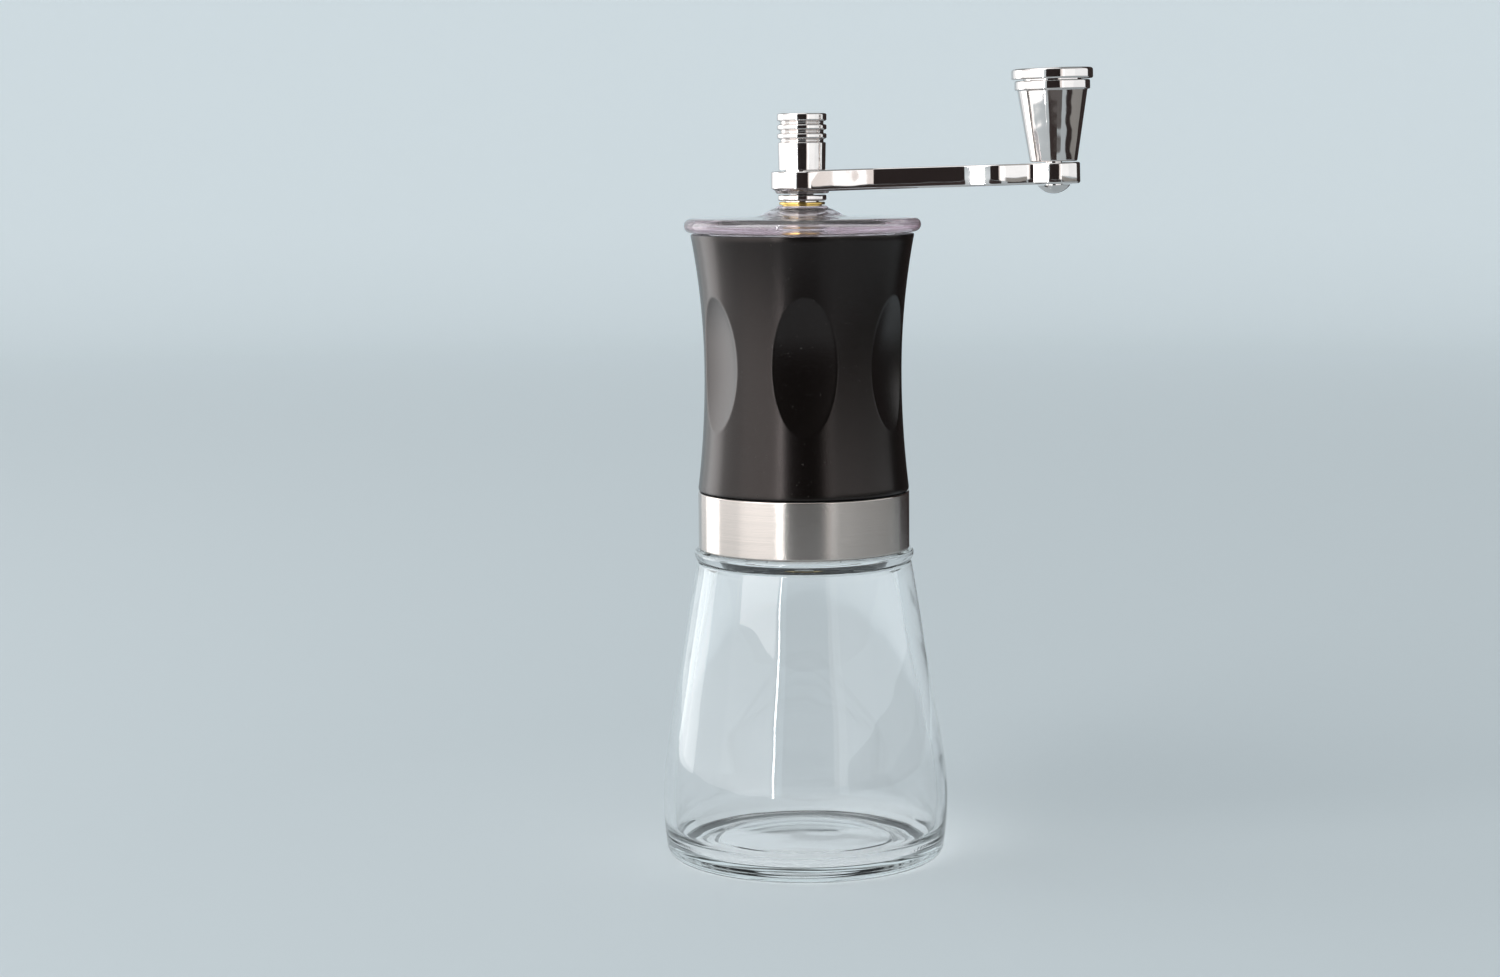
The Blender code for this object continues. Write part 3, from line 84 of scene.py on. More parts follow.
# %% Place the camera
bpy.ops.object.camera_add(location=(-0.0142, -0.753, 0.1879))
camera = bpy.context.object
camera.name = "camera"
tipped, rolled = Matrix.Rotation(radians(83.2), 3, "X"), Matrix.Rotation(radians(-0.45), 3, "Z")
camera.rotation_euler = (tipped @ rolled).to_euler()
camera.data.lens = 68.76
camera.data.sensor_width = 36.0
bpy.context.scene.camera = camera
bpy.context.scene.view_settings.view_transform = "Standard"
bpy.context.scene.cycles.glossy_bounces = 12
print("camera at", [round(x, 3) for x in camera.location])

# %% [markdown]
# ## Shader maths
# A procedural material is a sum of small fields: fine noise for grain, broad noise for wear, a
# height for a bump. Its nodes could be added and linked one by one, which hides the sum in
# wiring. Wrapping a socket in a class lets the sums be written as ordinary arithmetic, and each
# operator adds its own Math node.

# %% Numbers that change over a surface
class Value:
    """A number that changes over a surface. Arithmetic on it adds Math nodes."""

    def __init__(self, tree, socket):
        self.tree, self.socket = tree, socket

    def maths(self, operation, *parts):
        """Add one Math node. Its parts are values or plain numbers."""
        node = self.tree.nodes.new("ShaderNodeMath")
        node.operation = operation
        for place, part in enumerate(parts):
            if isinstance(part, Value):
                self.tree.links.new(part.socket, node.inputs[place])
            else:
                node.inputs[place].default_value = part
        return Value(self.tree, node.outputs[0])

    def __add__(self, other):
        return self.maths("ADD", self, other)

    def __mul__(self, other):
        return self.maths("MULTIPLY", self, other)

    def __pow__(self, other):
        return self.maths("POWER", self, other)

    def __gt__(self, other):
        return self.maths("GREATER_THAN", self, other)

    __radd__, __rmul__ = __add__, __mul__


print("values ready")

# %% A finish and its nodes
class Finish:
    """One material: a Principled shader, and the nodes that vary it over the piece."""

    def __init__(self, name, plain):
        self.material = bpy.data.materials.new(name)
        self.material.use_nodes = True
        self.tree = self.material.node_tree
        self.shader = self.tree.nodes["Principled BSDF"]
        self.set(plain)
        self.here = self.node("TexCoord", output="Object")

    def set(self, values, node=None):
        """Give sockets a plain value, or link them to one that varies."""
        for name, value in values.items():
            socket = (node or self.shader).inputs[name]
            if isinstance(value, Value):
                self.tree.links.new(value.socket, socket)
            else:
                socket.default_value = value

    def node(self, kind, settings=None, values=None, output=0):
        """Add any other node: its settings first, then its sockets."""
        made = self.tree.nodes.new("ShaderNode" + kind)
        for name, value in (settings or {}).items():
            setattr(made, name, value)
        self.set(values or {}, made)
        return Value(self.tree, made.outputs[output])

    def noise(self, scale, stretch=(1, 1, 1), detail=2.0):
        """A cloudy field from 0 to 1, finer along the axes that stretch makes larger."""
        point = self.node("Mapping", values={"Vector": self.here, "Scale": stretch})
        return self.node("TexNoise", values={"Vector": point, "Scale": scale, "Detail": detail})

    def mix(self, factor, first, second):
        """Blend two colours."""
        sockets = {0: factor, 6: (*first, 1.0), 7: (*second, 1.0)}
        return self.node("Mix", {"data_type": "RGBA"}, sockets, output=2)

    def bump(self, height, distance, strength=1.0):
        """Tilt the surface as if a height, in metres, stood on it."""
        return self.node("Bump", values={"Height": height, "Distance": distance, "Strength": strength})


print("finishes ready")

# %% [markdown]
# ## Finishes of the see-through pieces
# Glass is a clear body that bends light: full transmission, an index of 1.52 and almost no
# roughness. Its faint green could be a colour on the face, but then a thin wall would be as
# green as the foot. It shows only where light runs a long way through, so the tint is
# absorption inside. A pressed jar is never quite even, which a very low bump gives. The lid is
# acrylic: a lower index, and a rosy cast at its rim.

# %% Glass and acrylic
def tinted_inside(finish, colour, density):
    """Absorb light along the way through the piece."""
    absorb = finish.tree.nodes.new("ShaderNodeVolumeAbsorption")
    absorb.inputs["Color"].default_value = (*colour, 1.0)
    absorb.inputs["Density"].default_value = density
    finish.tree.links.new(absorb.outputs[0], finish.tree.nodes["Material Output"].inputs["Volume"])


glass = Finish("jar_glass", {"Transmission Weight": 1.0, "IOR": 1.52})
smudges = glass.noise(34.0, (1, 1, 0.6), 4.0)
waves = glass.noise(24.0, (1, 1, 0.4), 1.0) + 0.30 * glass.noise(70.0, (1, 1, 0.8), 1.0)
glass.set({
    "Base Color": glass.mix(smudges, (0.998, 0.996, 0.997), (0.982, 0.980, 0.981)),
    "Roughness": 0.002 + 0.012 * (smudges ** 3),
    "Normal": glass.bump(waves, 0.0006),
})
tinted_inside(glass, (0.78, 0.92, 0.88), 3.0)

acrylic = Finish("lid_acrylic", {"Transmission Weight": 0.97, "IOR": 1.49})
haze = acrylic.noise(60.0, (1, 1, 1), 3.0)
acrylic.set({
    "Base Color": acrylic.mix(haze, (0.99, 0.955, 0.97), (0.975, 0.93, 0.95)),
    "Roughness": 0.01 + 0.05 * (haze ** 2),
    "Normal": acrylic.bump(acrylic.noise(90.0, (1, 1, 1), 1.0), 0.0003, 0.4),
})
tinted_inside(acrylic, (0.93, 0.66, 0.79), 14.0)
print(glass.material.name, acrylic.material.name)

# %% [markdown]
# ## Finishes of the metal pieces
# Chrome plate is a near-perfect mirror over a cast base, so it keeps a trace of the casting's
# ripple. The sleeve over the thread is spun steel: its brush lines run round it, which stretch
# a reflection up and down and leave it sharp from side to side. Lines in the bump alone would
# need to be finer than the render can show, so the shader is anisotropic and the lines only
# vary it. Brass bushes are turned, and the shaft and small springs are plain bright steel.

# %% Chrome, steel and brass
chrome = Finish("chrome_plate", {"Metallic": 1.0})
ripple, wiped = chrome.noise(160.0, detail=1.0), chrome.noise(420.0, (1, 1, 3), 4.0)
chrome.set({
    "Base Color": chrome.mix(wiped, (0.70, 0.665, 0.65), (0.64, 0.605, 0.59)),
    "Roughness": 0.045 + 0.06 * (wiped ** 3),
    "Normal": chrome.bump(ripple, 0.00015, 0.5),
})

brushed = Finish("brushed_sleeve", {"Metallic": 1.0, "Anisotropic": 0.9, "Anisotropic Rotation": 0.25})
lines, streaks = brushed.noise(1.0, (30, 30, 9000), 3.0), brushed.noise(1.0, (140, 140, 12), 3.0)
brushed.set({
    "Base Color": brushed.mix(lines, (0.59, 0.53, 0.495), (0.49, 0.44, 0.41)),
    "Roughness": 0.14 + 0.06 * lines + 0.05 * streaks,
    "Normal": brushed.bump(lines, 0.00003, 0.5),
})

steel = Finish("plain_steel", {"Metallic": 1.0})
lathe = steel.noise(1.0, (60, 60, 5000), 2.0)
steel.set({
    "Base Color": steel.mix(lathe, (0.62, 0.61, 0.60), (0.50, 0.495, 0.49)),
    "Roughness": 0.20 + 0.18 * lathe,
    "Normal": steel.bump(lathe, 0.00003, 0.4),
})

brass = Finish("turned_brass", {"Metallic": 1.0})
lathe = brass.noise(1.0, (80, 80, 6000), 2.0)
brass.set({
    "Base Color": brass.mix(lathe, (0.66, 0.47, 0.15), (0.52, 0.35, 0.10)),
    "Roughness": 0.18 + 0.12 * lathe,
    "Normal": brass.bump(lathe, 0.00003, 0.4),
})
print("metals:", *(finish.material.name for finish in (chrome, brushed, steel, brass)))

# %% [markdown]
# ## Finishes of the moulded pieces
# The body is black plastic with a satin skin: very dark, softly shiny, with a fine grain that
# only shows in the highlight, and a few specks of dust. Plain black would look like a hole, so
# what shows its form is the gloss, kept a little warm. The pieces inside are the same kind of
# plastic straight from the mould, a little flatter. The burrs are fired ceramic, and the gasket
# is milky silicone, which lets some light into itself.

# %% Plastics, ceramic and silicone
satin = Finish("satin_body", {"Specular IOR Level": 0.38, "Specular Tint": (1.0, 0.87, 0.84, 1.0)})
grain, patches = satin.noise(2600.0, detail=2.0), satin.noise(45.0, detail=3.0)
dust = satin.noise(2400.0, detail=0.0) > 0.83
satin.set({
    "Base Color": satin.mix(dust, (0.0030, 0.0023, 0.0019), (0.05, 0.045, 0.04)),
    "Roughness": 0.18 + 0.05 * patches + 0.04 * grain,
    "Normal": satin.bump(grain, 0.00003, 0.5),
})

moulded = Finish("moulded_black", {"Specular IOR Level": 0.45})
grain, patches = moulded.noise(1800.0, detail=2.0), moulded.noise(70.0, detail=3.0)
moulded.set({
    "Base Color": moulded.mix(patches, (0.020, 0.019, 0.019), (0.034, 0.032, 0.032)),
    "Roughness": 0.42 + 0.12 * patches,
    "Normal": moulded.bump(grain, 0.00005, 0.6),
})

ceramic = Finish("fired_ceramic", {})
speckle, grain = ceramic.noise(1400.0, detail=4.0), ceramic.noise(3000.0, detail=2.0)
ceramic.set({
    "Base Color": ceramic.mix(speckle, (0.80, 0.78, 0.73), (0.88, 0.87, 0.84)),
    "Roughness": 0.38 + 0.20 * speckle,
    "Normal": ceramic.bump(grain, 0.00005, 0.6),
})

MILKY_DEPTH = 0.002
silicone = Finish("milky_silicone", {"Subsurface Weight": 0.2, "Subsurface Radius": (MILKY_DEPTH,) * 3})
bloom = silicone.noise(300.0, detail=3.0)
silicone.set({
    "Base Color": silicone.mix(bloom, (0.74, 0.74, 0.71), (0.82, 0.82, 0.80)),
    "Roughness": 0.45 + 0.2 * bloom,
    "Normal": silicone.bump(bloom, 0.00005, 0.5),
})
print("moulded:", *(finish.material.name for finish in (satin, moulded, ceramic, silicone)))

# %% [markdown]
# ## Dressing the frame
# Bushes, burrs, bridges and springs sit deep inside and are already the right shape in the
# frame. They could be drawn again, but nothing would look better for it, so they stay as they
# are and only get their finish. A piece that is drawn again further on hides its node there.

# %% Give every node of the frame its finish
FINISHES = {
    "clear_glass": glass, "clear_plastic": acrylic, "silicone": silicone, "body_plastic": satin,
    "inner_plastic": moulded, "brushed_band": brushed, "plain_steel": steel, "chrome": chrome,
    "brass": brass, "ceramic": ceramic,
}
for node, piece in frame["nodes"].items():
    for slot in piece.material_slots:
        slot.material = FINISHES[SLOT_OF[node]].material
print("dressed", len(frame["nodes"]), "nodes")

# %% [markdown]
# ## Turning a piece
# Most of a grinder is turned or moulded round its axis. Such a piece could be stacked from
# cylinders, but its section says more in fewer points. It starts as one point that is extruded
# along half of the section, and the section is spun a full turn. Corners are drawn with a real
# rounding, because a sharp edge never catches the light as a real one does. A point close
# beside each rounding keeps the flat next to it flat. Sections are in millimetres.

# %% Select, trace and turn
WELD = MM / 500     # points closer than this become one


def only(*pieces):
    """Select these pieces and nothing else."""
    bpy.ops.object.select_all(action="DESELECT")
    for piece in pieces:
        piece.select_set(True)
    bpy.context.view_layer.objects.active = pieces[0] if pieces else None


def trace(name, points):
    """Draw a line of points in edit mode, by extruding one point along it."""
    only()
    bpy.ops.mesh.primitive_plane_add(size=MM)
    piece = bpy.context.object
    piece.name = piece.data.name = name
    bpy.ops.object.mode_set(mode="EDIT")
    bpy.ops.mesh.select_mode(type="VERT")
    bpy.ops.mesh.merge(type="CENTER")
    bpy.ops.transform.translate(value=points[0])
    for start, end in zip(points, points[1:]):
        bpy.ops.mesh.extrude_region_move(TRANSFORM_OT_translate={"value": end - start})
    bpy.ops.mesh.select_all(action="SELECT")
    return piece


def turn(name, outline, steps=160, smooth=34):
    """Spin half of a section, in millimetres, round the upright axis."""
    closed = outline[0][0] > 0.0
    points = [Vector((r * MM, 0.0, z * MM)) for r, z in outline + ([outline[0]] if closed else [])]
    piece = trace(name, points)
    bpy.ops.mesh.spin(steps=steps, angle=tau, center=(0, 0, 0), axis=(0, 0, 1))
    bpy.ops.mesh.select_all(action="SELECT")
    bpy.ops.mesh.remove_doubles(threshold=WELD)
    bpy.ops.mesh.normals_make_consistent(inside=False)
    bpy.ops.object.mode_set(mode="OBJECT")
    only(piece)
    bpy.ops.object.shade_smooth_by_angle(angle=radians(smooth))
    return piece


print("turning ready")

# %% Arcs and rounded corners
def arc(centre, radius, start, end, count):
    """Points along an arc of the section, angles in degrees."""
    angles = [radians(start + (end - start) * i / count) for i in range(count + 1)]
    return [(centre[0] + radius * cos(a), centre[1] + radius * sin(a)) for a in angles]


MOST, BESIDE, HOLD = 0.46, 0.2, 0.15


def soften(points, sides=4):
    """Round the corners of a section: a point's third number is its rounding.

    MOST is the share of an edge that a rounding may use. The point beside a rounding stands off
    by HOLD times its radius, and by BESIDE of the edge at most.
    """
    softened = []
    for i, point in enumerate(points):
        if len(point) == 2 or not point[2]:
            softened.append(tuple(point[:2]))
            continue
        here = Vector(point[:2])
        back = Vector(points[i - 1][:2]) - here
        ahead = Vector(points[(i + 1) % len(points)][:2]) - here
        half = back.angle(ahead) / 2
        run = min(point[2] / tan(half), MOST * back.length, MOST * ahead.length)
        radius = run * tan(half)
        centre = here + (back.normalized() + ahead.normalized()).normalized() * (radius / sin(half))
        first, last = here + back.normalized() * run, here + ahead.normalized() * run
        sweep = (first - centre).angle_signed(last - centre)
        beside = min(HOLD * radius, BESIDE * back.length, BESIDE * ahead.length)
        softened.append(tuple(first + back.normalized() * beside))
        for k in range(sides + 1):
            spoke = (first - centre).copy()
            spoke.rotate(Matrix.Rotation(-sweep * k / sides, 2))
            softened.append(tuple(centre + spoke))
        softened.append(tuple(last + ahead.normalized() * beside))
    return softened


print("rounding ready")

# %% [markdown]
# ## Sizes from the frame, and handing a piece over
# Every size that the frame knows is read from it, so a piece always fits the node that it
# stands for. A finished piece then has to be told what carries it: it takes its finish, it is
# parented to an empty for the body that carries the node, and the node itself is hidden.

# %% Measure a node and hand a piece over
def reach(node):
    """A node's radius about the upright axis, its lowest and its highest point, in millimetres."""
    low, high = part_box(node)
    return high.x / MM, low.z / MM, high.z / MM


def below(top, points):
    """Points of a section whose heights are given as depths under its top."""
    return [(radius, top - depth) for radius, depth in points]


def hand_over(piece, finish, node):
    """Give a finished piece its material and the body of the node it stands for, and hide the node."""
    piece.data.materials.clear()
    piece.data.materials.append(finish.material)
    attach(piece, BODY_OF[node])
    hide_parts(node)
    piece.visible_shadow = finish not in (glass, acrylic)     # light goes through these
    print(piece.name, len(piece.data.polygons), "faces, on", BODY_OF[node])


print("hand-over ready")

# %% [markdown]
# ## The jar
# A pressed glass jar: thick floor, a heel that rounds up into a full belly, and a side that
# leans in to a bead under the screw neck. It could be a thin shell with a Solidify modifier,
# but glass has to be one closed solid with its real and uneven thickness, or light would not
# bend in it as it should. So the section runs up the outside, over the lip and down the inside.
# The foot is pushed up in the middle and stands on a ring of short bars, which a mould leaves
# there so that the hot jar doesn't slip.

# %% Work out the jar's section
jar_radius, _, neck_top = reach("glass_jar")
band_radius, band_bottom, band_top = reach("steel_band")
WALL, FLOOR = 3.0, 3.6                   # thickness of the side and of the floor
HEEL, CORNER = 3.0, 6.5                  # rounding of the foot, outside and inside
BELLY_CURVE, WIDEST = 80.0, 15.0         # radius of the belly, and the height where it is widest
LEDGE, BEAD = band_bottom - 0.3, 3.6     # top of the bead, and its height
NECK, NECK_BORE = 24.6, 22.4
LIP = 0.6                                # rounding at the mouth


def side_of_jar(curve, shoulder, lowest, count):
    """The belly's arc from a height up to where the straight side leaves it for the shoulder."""
    centre = (jar_radius - BELLY_CURVE, WIDEST)
    across, up = shoulder[0] - centre[0], shoulder[1] - centre[1]
    leave = degrees(atan2(up, across) - acos(min(1.0, curve / hypot(across, up))))
    return arc(centre, curve, degrees(-atan2(WIDEST - lowest, curve)), leave, count), leave


shoulder = (band_radius + 0.6, LEDGE - BEAD)
outside, leave = side_of_jar(BELLY_CURVE, shoulder, HEEL, 22)
heel = arc((outside[0][0] - HEEL, HEEL), HEEL, -90, 0, 12)[:-1]
bead = arc((27.9, LEDGE - 3.7), 0.6, 12, 90, 5)
bead += below(LEDGE, [(27.75, 3.05), (27.9, 3.0), (28.35, 2.65), (28.72, 2.1), (28.95, 1.45), (29.0, 0.85)])
bead += arc((28.4, LEDGE - 0.6), 0.6, 0, 90, 5)
inner_shoulder = (shoulder[0] - WALL * cos(radians(leave)), shoulder[1] - WALL * sin(radians(leave)))
inside, _ = side_of_jar(BELLY_CURVE - WALL, inner_shoulder, FLOOR + CORNER, 22)
corner = arc((inside[0][0] - CORNER, FLOOR + CORNER), CORNER, 0, -90, 16)[1:]
print("the straight side leans in by", round(leave, 1), "degrees")

# %% Turn the jar
push_up = [(0.0, 2.0), (22.8, 1.65), (23.4, 1.55), (23.9, 1.2), (24.5, 1.0), (26.6, 0.95), (27.1, 0.85)]
push_up += [(27.5, 0.5), (28.0, 0.4), (31.0, 0.3), (31.9, 0.05), (32.3, 0.0), (33.1, 0.0)]
mouth = [(NECK, LEDGE)] + below(neck_top, [(NECK, LIP), (NECK - 0.25, 0.15), (NECK - 0.7, 0.0)])
mouth += below(neck_top, [(NECK_BORE + 0.7, 0.0), (NECK_BORE + 0.25, 0.15), (NECK_BORE, LIP)])
throat = [(NECK_BORE, LEDGE - 1.0)] + arc((NECK_BORE + 2.0, LEDGE - 1.0), 2.0, 180, 216, 4)[1:]
inner_floor = [(23.4, FLOOR + 0.05), (22.9, FLOOR + 0.3), (22.2, FLOOR + 0.4)]
inner_floor += [(12.0, FLOOR + 0.65), (0.0, FLOOR + 0.7)]
BARS = 144
outer_side, inner_side = push_up + heel + outside + bead, throat + inside[::-1] + corner + inner_floor
jar = turn("clear_jar", outer_side + mouth + inner_side, steps=2 * BARS, smooth=50)
print("jar", round(neck_top, 1), "mm tall")

# %% Leave the ring of bars on its foot
BAR_HEIGHT, BAR_INNER, BAR_OUTER = 0.4, 31.5, 34.5
FOOT_Z = 0.06       # the foot's flat ring lies lower than this
between_bars = 0
for point in jar.data.vertices:
    beside = round(atan2(point.co.y, point.co.x) / tau * 2 * BARS) % 2
    if beside and point.co.z < FOOT_Z * MM and BAR_INNER < hypot(point.co.x, point.co.y) / MM < BAR_OUTER:
        point.co.z += BAR_HEIGHT * MM
        between_bars += 1
print(between_bars, "points lifted between the bars")
hand_over(jar, glass, "glass_jar")

# %% [markdown]
# ## The brushed sleeve
# A thin steel sleeve is pressed over the screw coupling. Its rim is turned in at the bottom,
# and both edges are rounded where the sheet was spun. A plain tube with a Bevel modifier would
# round all of its edges alike, so the section is drawn with a rounding for each corner.

# %% Turn the sleeve
SHEET, TURNED_IN = 0.7, 2.0
lip_radius = band_radius - TURNED_IN
sleeve = turn("brushed_sleeve", soften([
    (band_radius, band_bottom, 0.55), (band_radius, band_top, 0.3), (band_radius - SHEET, band_top, 0.2),
    (band_radius - SHEET, band_bottom + SHEET, 0.15), (lip_radius, band_bottom + SHEET, 0.2),
    (lip_radius, band_bottom, 0.2),
]), steps=192)
hand_over(sleeve, brushed, "steel_band")

# %% [markdown]
# ## The body
# The black body is waisted for the hand, with six shallow hollows for the fingers. It could be
# cut with a ball six times, but a cut leaves a ragged rim on a curved wall. Here the wall is
# spun as a fine net, and the net is pressed in with the ball: a point that the ball would reach
# moves onto its surface, with a rim as soft as a moulded one.

# %% Turn the body
_, body_bottom, body_top = reach("body_shell")
FOOT_SWELL, TOP_SWELL = 1.95, 3.4             # how far the ends stand out past the waist
WAIST, WAIST_Z = band_radius - FOOT_SWELL, body_bottom + 31.2
BODY_WALL, SEAT, SEAT_DEPTH = 2.8, 27.3, 1.8  # the hopper's rim lies in the seat
SPIGOT, SPIGOT_TOP = 24.0, body_bottom + 4.1
HOLLOW_Z, HOLLOW_SPAN = body_bottom + 33.0, 19.5
COARSE, FINE = 1.1, 0.34                      # spacing of the net, and where it gets pressed


def body_radius(z):
    """The waisted outside: a parabola from the waist to each end."""
    end, swell = (body_bottom, FOOT_SWELL) if z < WAIST_Z else (body_top, TOP_SWELL)
    return WAIST + swell * ((z - WAIST_Z) / (end - WAIST_Z)) ** 2


def levels(bottom, top, spacing):
    """Heights from one to another, evenly spaced and no wider apart than asked."""
    count = ceil((top - bottom) / spacing)
    return [bottom + (top - bottom) * i / count for i in range(count + 1)]


heights = levels(body_bottom + 0.7, HOLLOW_Z - HOLLOW_SPAN, COARSE)[:-1]
heights += levels(HOLLOW_Z - HOLLOW_SPAN, HOLLOW_Z + HOLLOW_SPAN, FINE)
heights += levels(HOLLOW_Z + HOLLOW_SPAN, body_top - 0.6, COARSE)[1:]
foot_radius, top_radius = body_radius(body_bottom), body_radius(body_top)
outer_face = [(foot_radius - 0.55, body_bottom), (foot_radius - 0.15, body_bottom + 0.17)]
outer_face += [(body_radius(z), z) for z in heights]
outer_face += below(body_top, [(top_radius - 0.12, 0.15), (top_radius - 0.45, 0.0)])
down_the_bore = (body_top - 1.9, 150.0, 136.0, 122.0, 110.0, SPIGOT_TOP)
bore = below(body_top, [(SEAT, 0.0), (SEAT, SEAT_DEPTH)])
bore += [(body_radius(z) - BODY_WALL, z) for z in down_the_bore]
body = turn("dimpled_body", outer_face + bore + [(SPIGOT, SPIGOT_TOP), (SPIGOT, body_bottom)], steps=450)
print("waist", round(2 * WAIST, 1), "mm across")

# %% Press the finger hollows
BALL, PRESSED, HOLLOWS = 60.0, 1.9, 6
RIM_SOFTNESS = 0.05
pressed = 0
reach_of_ball = body_radius(HOLLOW_Z) - PRESSED + BALL
for point in body.data.vertices:
    radius, z = hypot(point.co.x, point.co.y) / MM, point.co.z / MM
    on_the_bore = radius < body_radius(z) - 0.5
    if on_the_bore or abs(z - HOLLOW_Z) > HOLLOW_SPAN:
        continue
    turned = (atan2(point.co.y, point.co.x) + pi / 2 + pi / HOLLOWS) % (tau / HOLLOWS) - pi / HOLLOWS
    inside_ball = BALL ** 2 - (z - HOLLOW_Z) ** 2 - (reach_of_ball * sin(turned)) ** 2
    ball = reach_of_ball * cos(turned) - sqrt(inside_ball)
    blend = max(RIM_SOFTNESS - abs(radius - ball), 0.0) / RIM_SOFTNESS
    pushed = min(radius, ball) - blend ** 2 * RIM_SOFTNESS / 4
    pressed += pushed < radius
    point.co.x, point.co.y = point.co.x * pushed / radius, point.co.y * pushed / radius
print(pressed, "points pressed in")
hand_over(body, satin, "body_shell")

# %% [markdown]
# ## The hopper
# Inside the body a cup holds the beans and leads them down to the burrs. Most of it stays
# hidden and the frame's own piece would do there, but its rim and wall show through the lid, so
# it is turned again with a smooth wall and a rounded rim.

# %% Turn the hopper
_, hopper_low, hopper_top = reach("hopper")
burr_radius, _, burr_top = reach("outer_burr")
socket_bore, shelf_z = burr_radius + 0.3, burr_top + 0.3
socket_radius, funnel_mouth = socket_bore + 1.5, 15.2
rim_radius = SEAT - 0.2
wall_outside = [(body_radius(z) - BODY_WALL - 0.3, z) for z in levels(shelf_z + 11.0, hopper_top - 1.5, 4.0)]
wall_inside = [(body_radius(z) - BODY_WALL - 1.8, z) for z in levels(shelf_z + 12.3, hopper_top - 0.6, 4.0)]
socket_outside = [(socket_radius, hopper_low, 0.2), (socket_radius, shelf_z)]
hopper_rim = [(rim_radius, hopper_top - 1.2, 0.2), (rim_radius, hopper_top, 0.3)]
hopper_rim += [(wall_inside[-1][0], hopper_top, 0.4)]
funnel = [(funnel_mouth, shelf_z + 1.2, 0.5), (funnel_mouth, shelf_z, 0.2)]
socket_inside = [(socket_bore, shelf_z), (socket_bore, hopper_low, 0.2)]
hopper = turn("bean_hopper", soften(
    socket_outside + wall_outside + hopper_rim + wall_inside[::-1] + funnel + socket_inside), steps=160)
hand_over(hopper, moulded, "hopper")

# %% [markdown]
# ## The lid
# The lid is moulded in clear acrylic: a fat rounded rim, a plate that rises gently, a flared
# neck round the shaft and a short skirt that centres it in the hopper. A disc with bevelled
# edges would look like a coin. Like the jar it is one closed solid drawn as a section, because
# its many curves are what break up the light.

# %% Turn the lid
lid_radius, lid_bottom, lid_top = reach("lid")
rim_bottom = body_top + 0.3
FAT_RIM = 1.9
neck = [(6.1, 0.25), (6.35, 0.0), (6.6, 0.1), (6.8, 0.4), (7.6, 0.7), (8.6, 1.1), (9.6, 1.65)]
plate = below(lid_top, neck + [(10.4, 2.15), (11.2, 2.5), (12.4, 2.75), (16.0, 2.85), (26.0, 3.0)])
plate += arc((28.2, lid_top - 4.0), 1.0, 95, 60, 3)
fat_rim = arc((lid_radius - FAT_RIM, rim_bottom + FAT_RIM), FAT_RIM, 88, -62, 14) + [(28.6, rim_bottom)]
skirt = [(24.4, rim_bottom), (24.35, lid_bottom + 0.3), (24.1, lid_bottom), (23.2, lid_bottom)]
skirt += [(22.9, lid_bottom + 0.3), (22.6, lid_bottom + 3.3)] + arc((21.9, lid_bottom + 3.4), 0.7, 0, 90, 4)
underside = [(15.0, 4.8), (11.2, 4.5), (9.0, 4.1), (7.2, 3.5), (6.2, 2.6), (5.55, 1.7), (5.5, 1.1)]
lid = turn("clear_lid", plate + fat_rim + skirt + below(lid_top, underside), steps=192, smooth=50)
hand_over(lid, acrylic, "lid")

# %% [markdown]
# ## The ring in the lid's neck
# A small flanged brass ring lines the neck, so that the turning crank doesn't rub the acrylic
# away. It shows as a bright line under the chrome. The frame's ring has sharp edges, and brass
# is seen by the glint on its edges, so the ring is turned again with rounded ones.

# %% Turn the brass ring
ring_radius, ring_bottom, ring_top = reach("lid_bush")
RING_BORE, RING_NECK, FLANGE = 4.7, 5.2, 0.7
ring = turn("brass_ring", soften([
    (RING_BORE, ring_bottom, 0.1), (RING_NECK, ring_bottom, 0.1), (RING_NECK, ring_top - FLANGE),
    (ring_radius, ring_top - FLANGE, 0.15), (ring_radius, ring_top, 0.2), (RING_BORE, ring_top, 0.15),
]), steps=96)
hand_over(ring, brass, "lid_bush")

# %% [markdown]
# ## The crank's collar and column
# The crank pulls off the shaft as one piece. Under it a chromed collar closes the neck, and a
# column with three ring grooves stands over the shaft's six-sided end. The grooves could be cut
# with three rings, but a polished groove has soft lips that catch the light, and a section gives
# each lip its own rounding.

# %% Turn the collar
collar_radius, collar_low, collar_top = reach("crank_collar")
COLLAR_BORE, COLLAR_NECK, COLLAR_FLANGE = 3.3, 4.4, 1.6
flange_z = collar_top - COLLAR_FLANGE
collar = turn("chrome_collar", soften([
    (COLLAR_BORE, collar_low, 0.15), (COLLAR_NECK, collar_low, 0.2), (COLLAR_NECK, flange_z),
    (collar_radius, flange_z, 0.5), (collar_radius, collar_top, 0.45), (COLLAR_BORE, collar_top, 0.15),
], sides=6), steps=128)
hand_over(collar, chrome, "crank_collar")

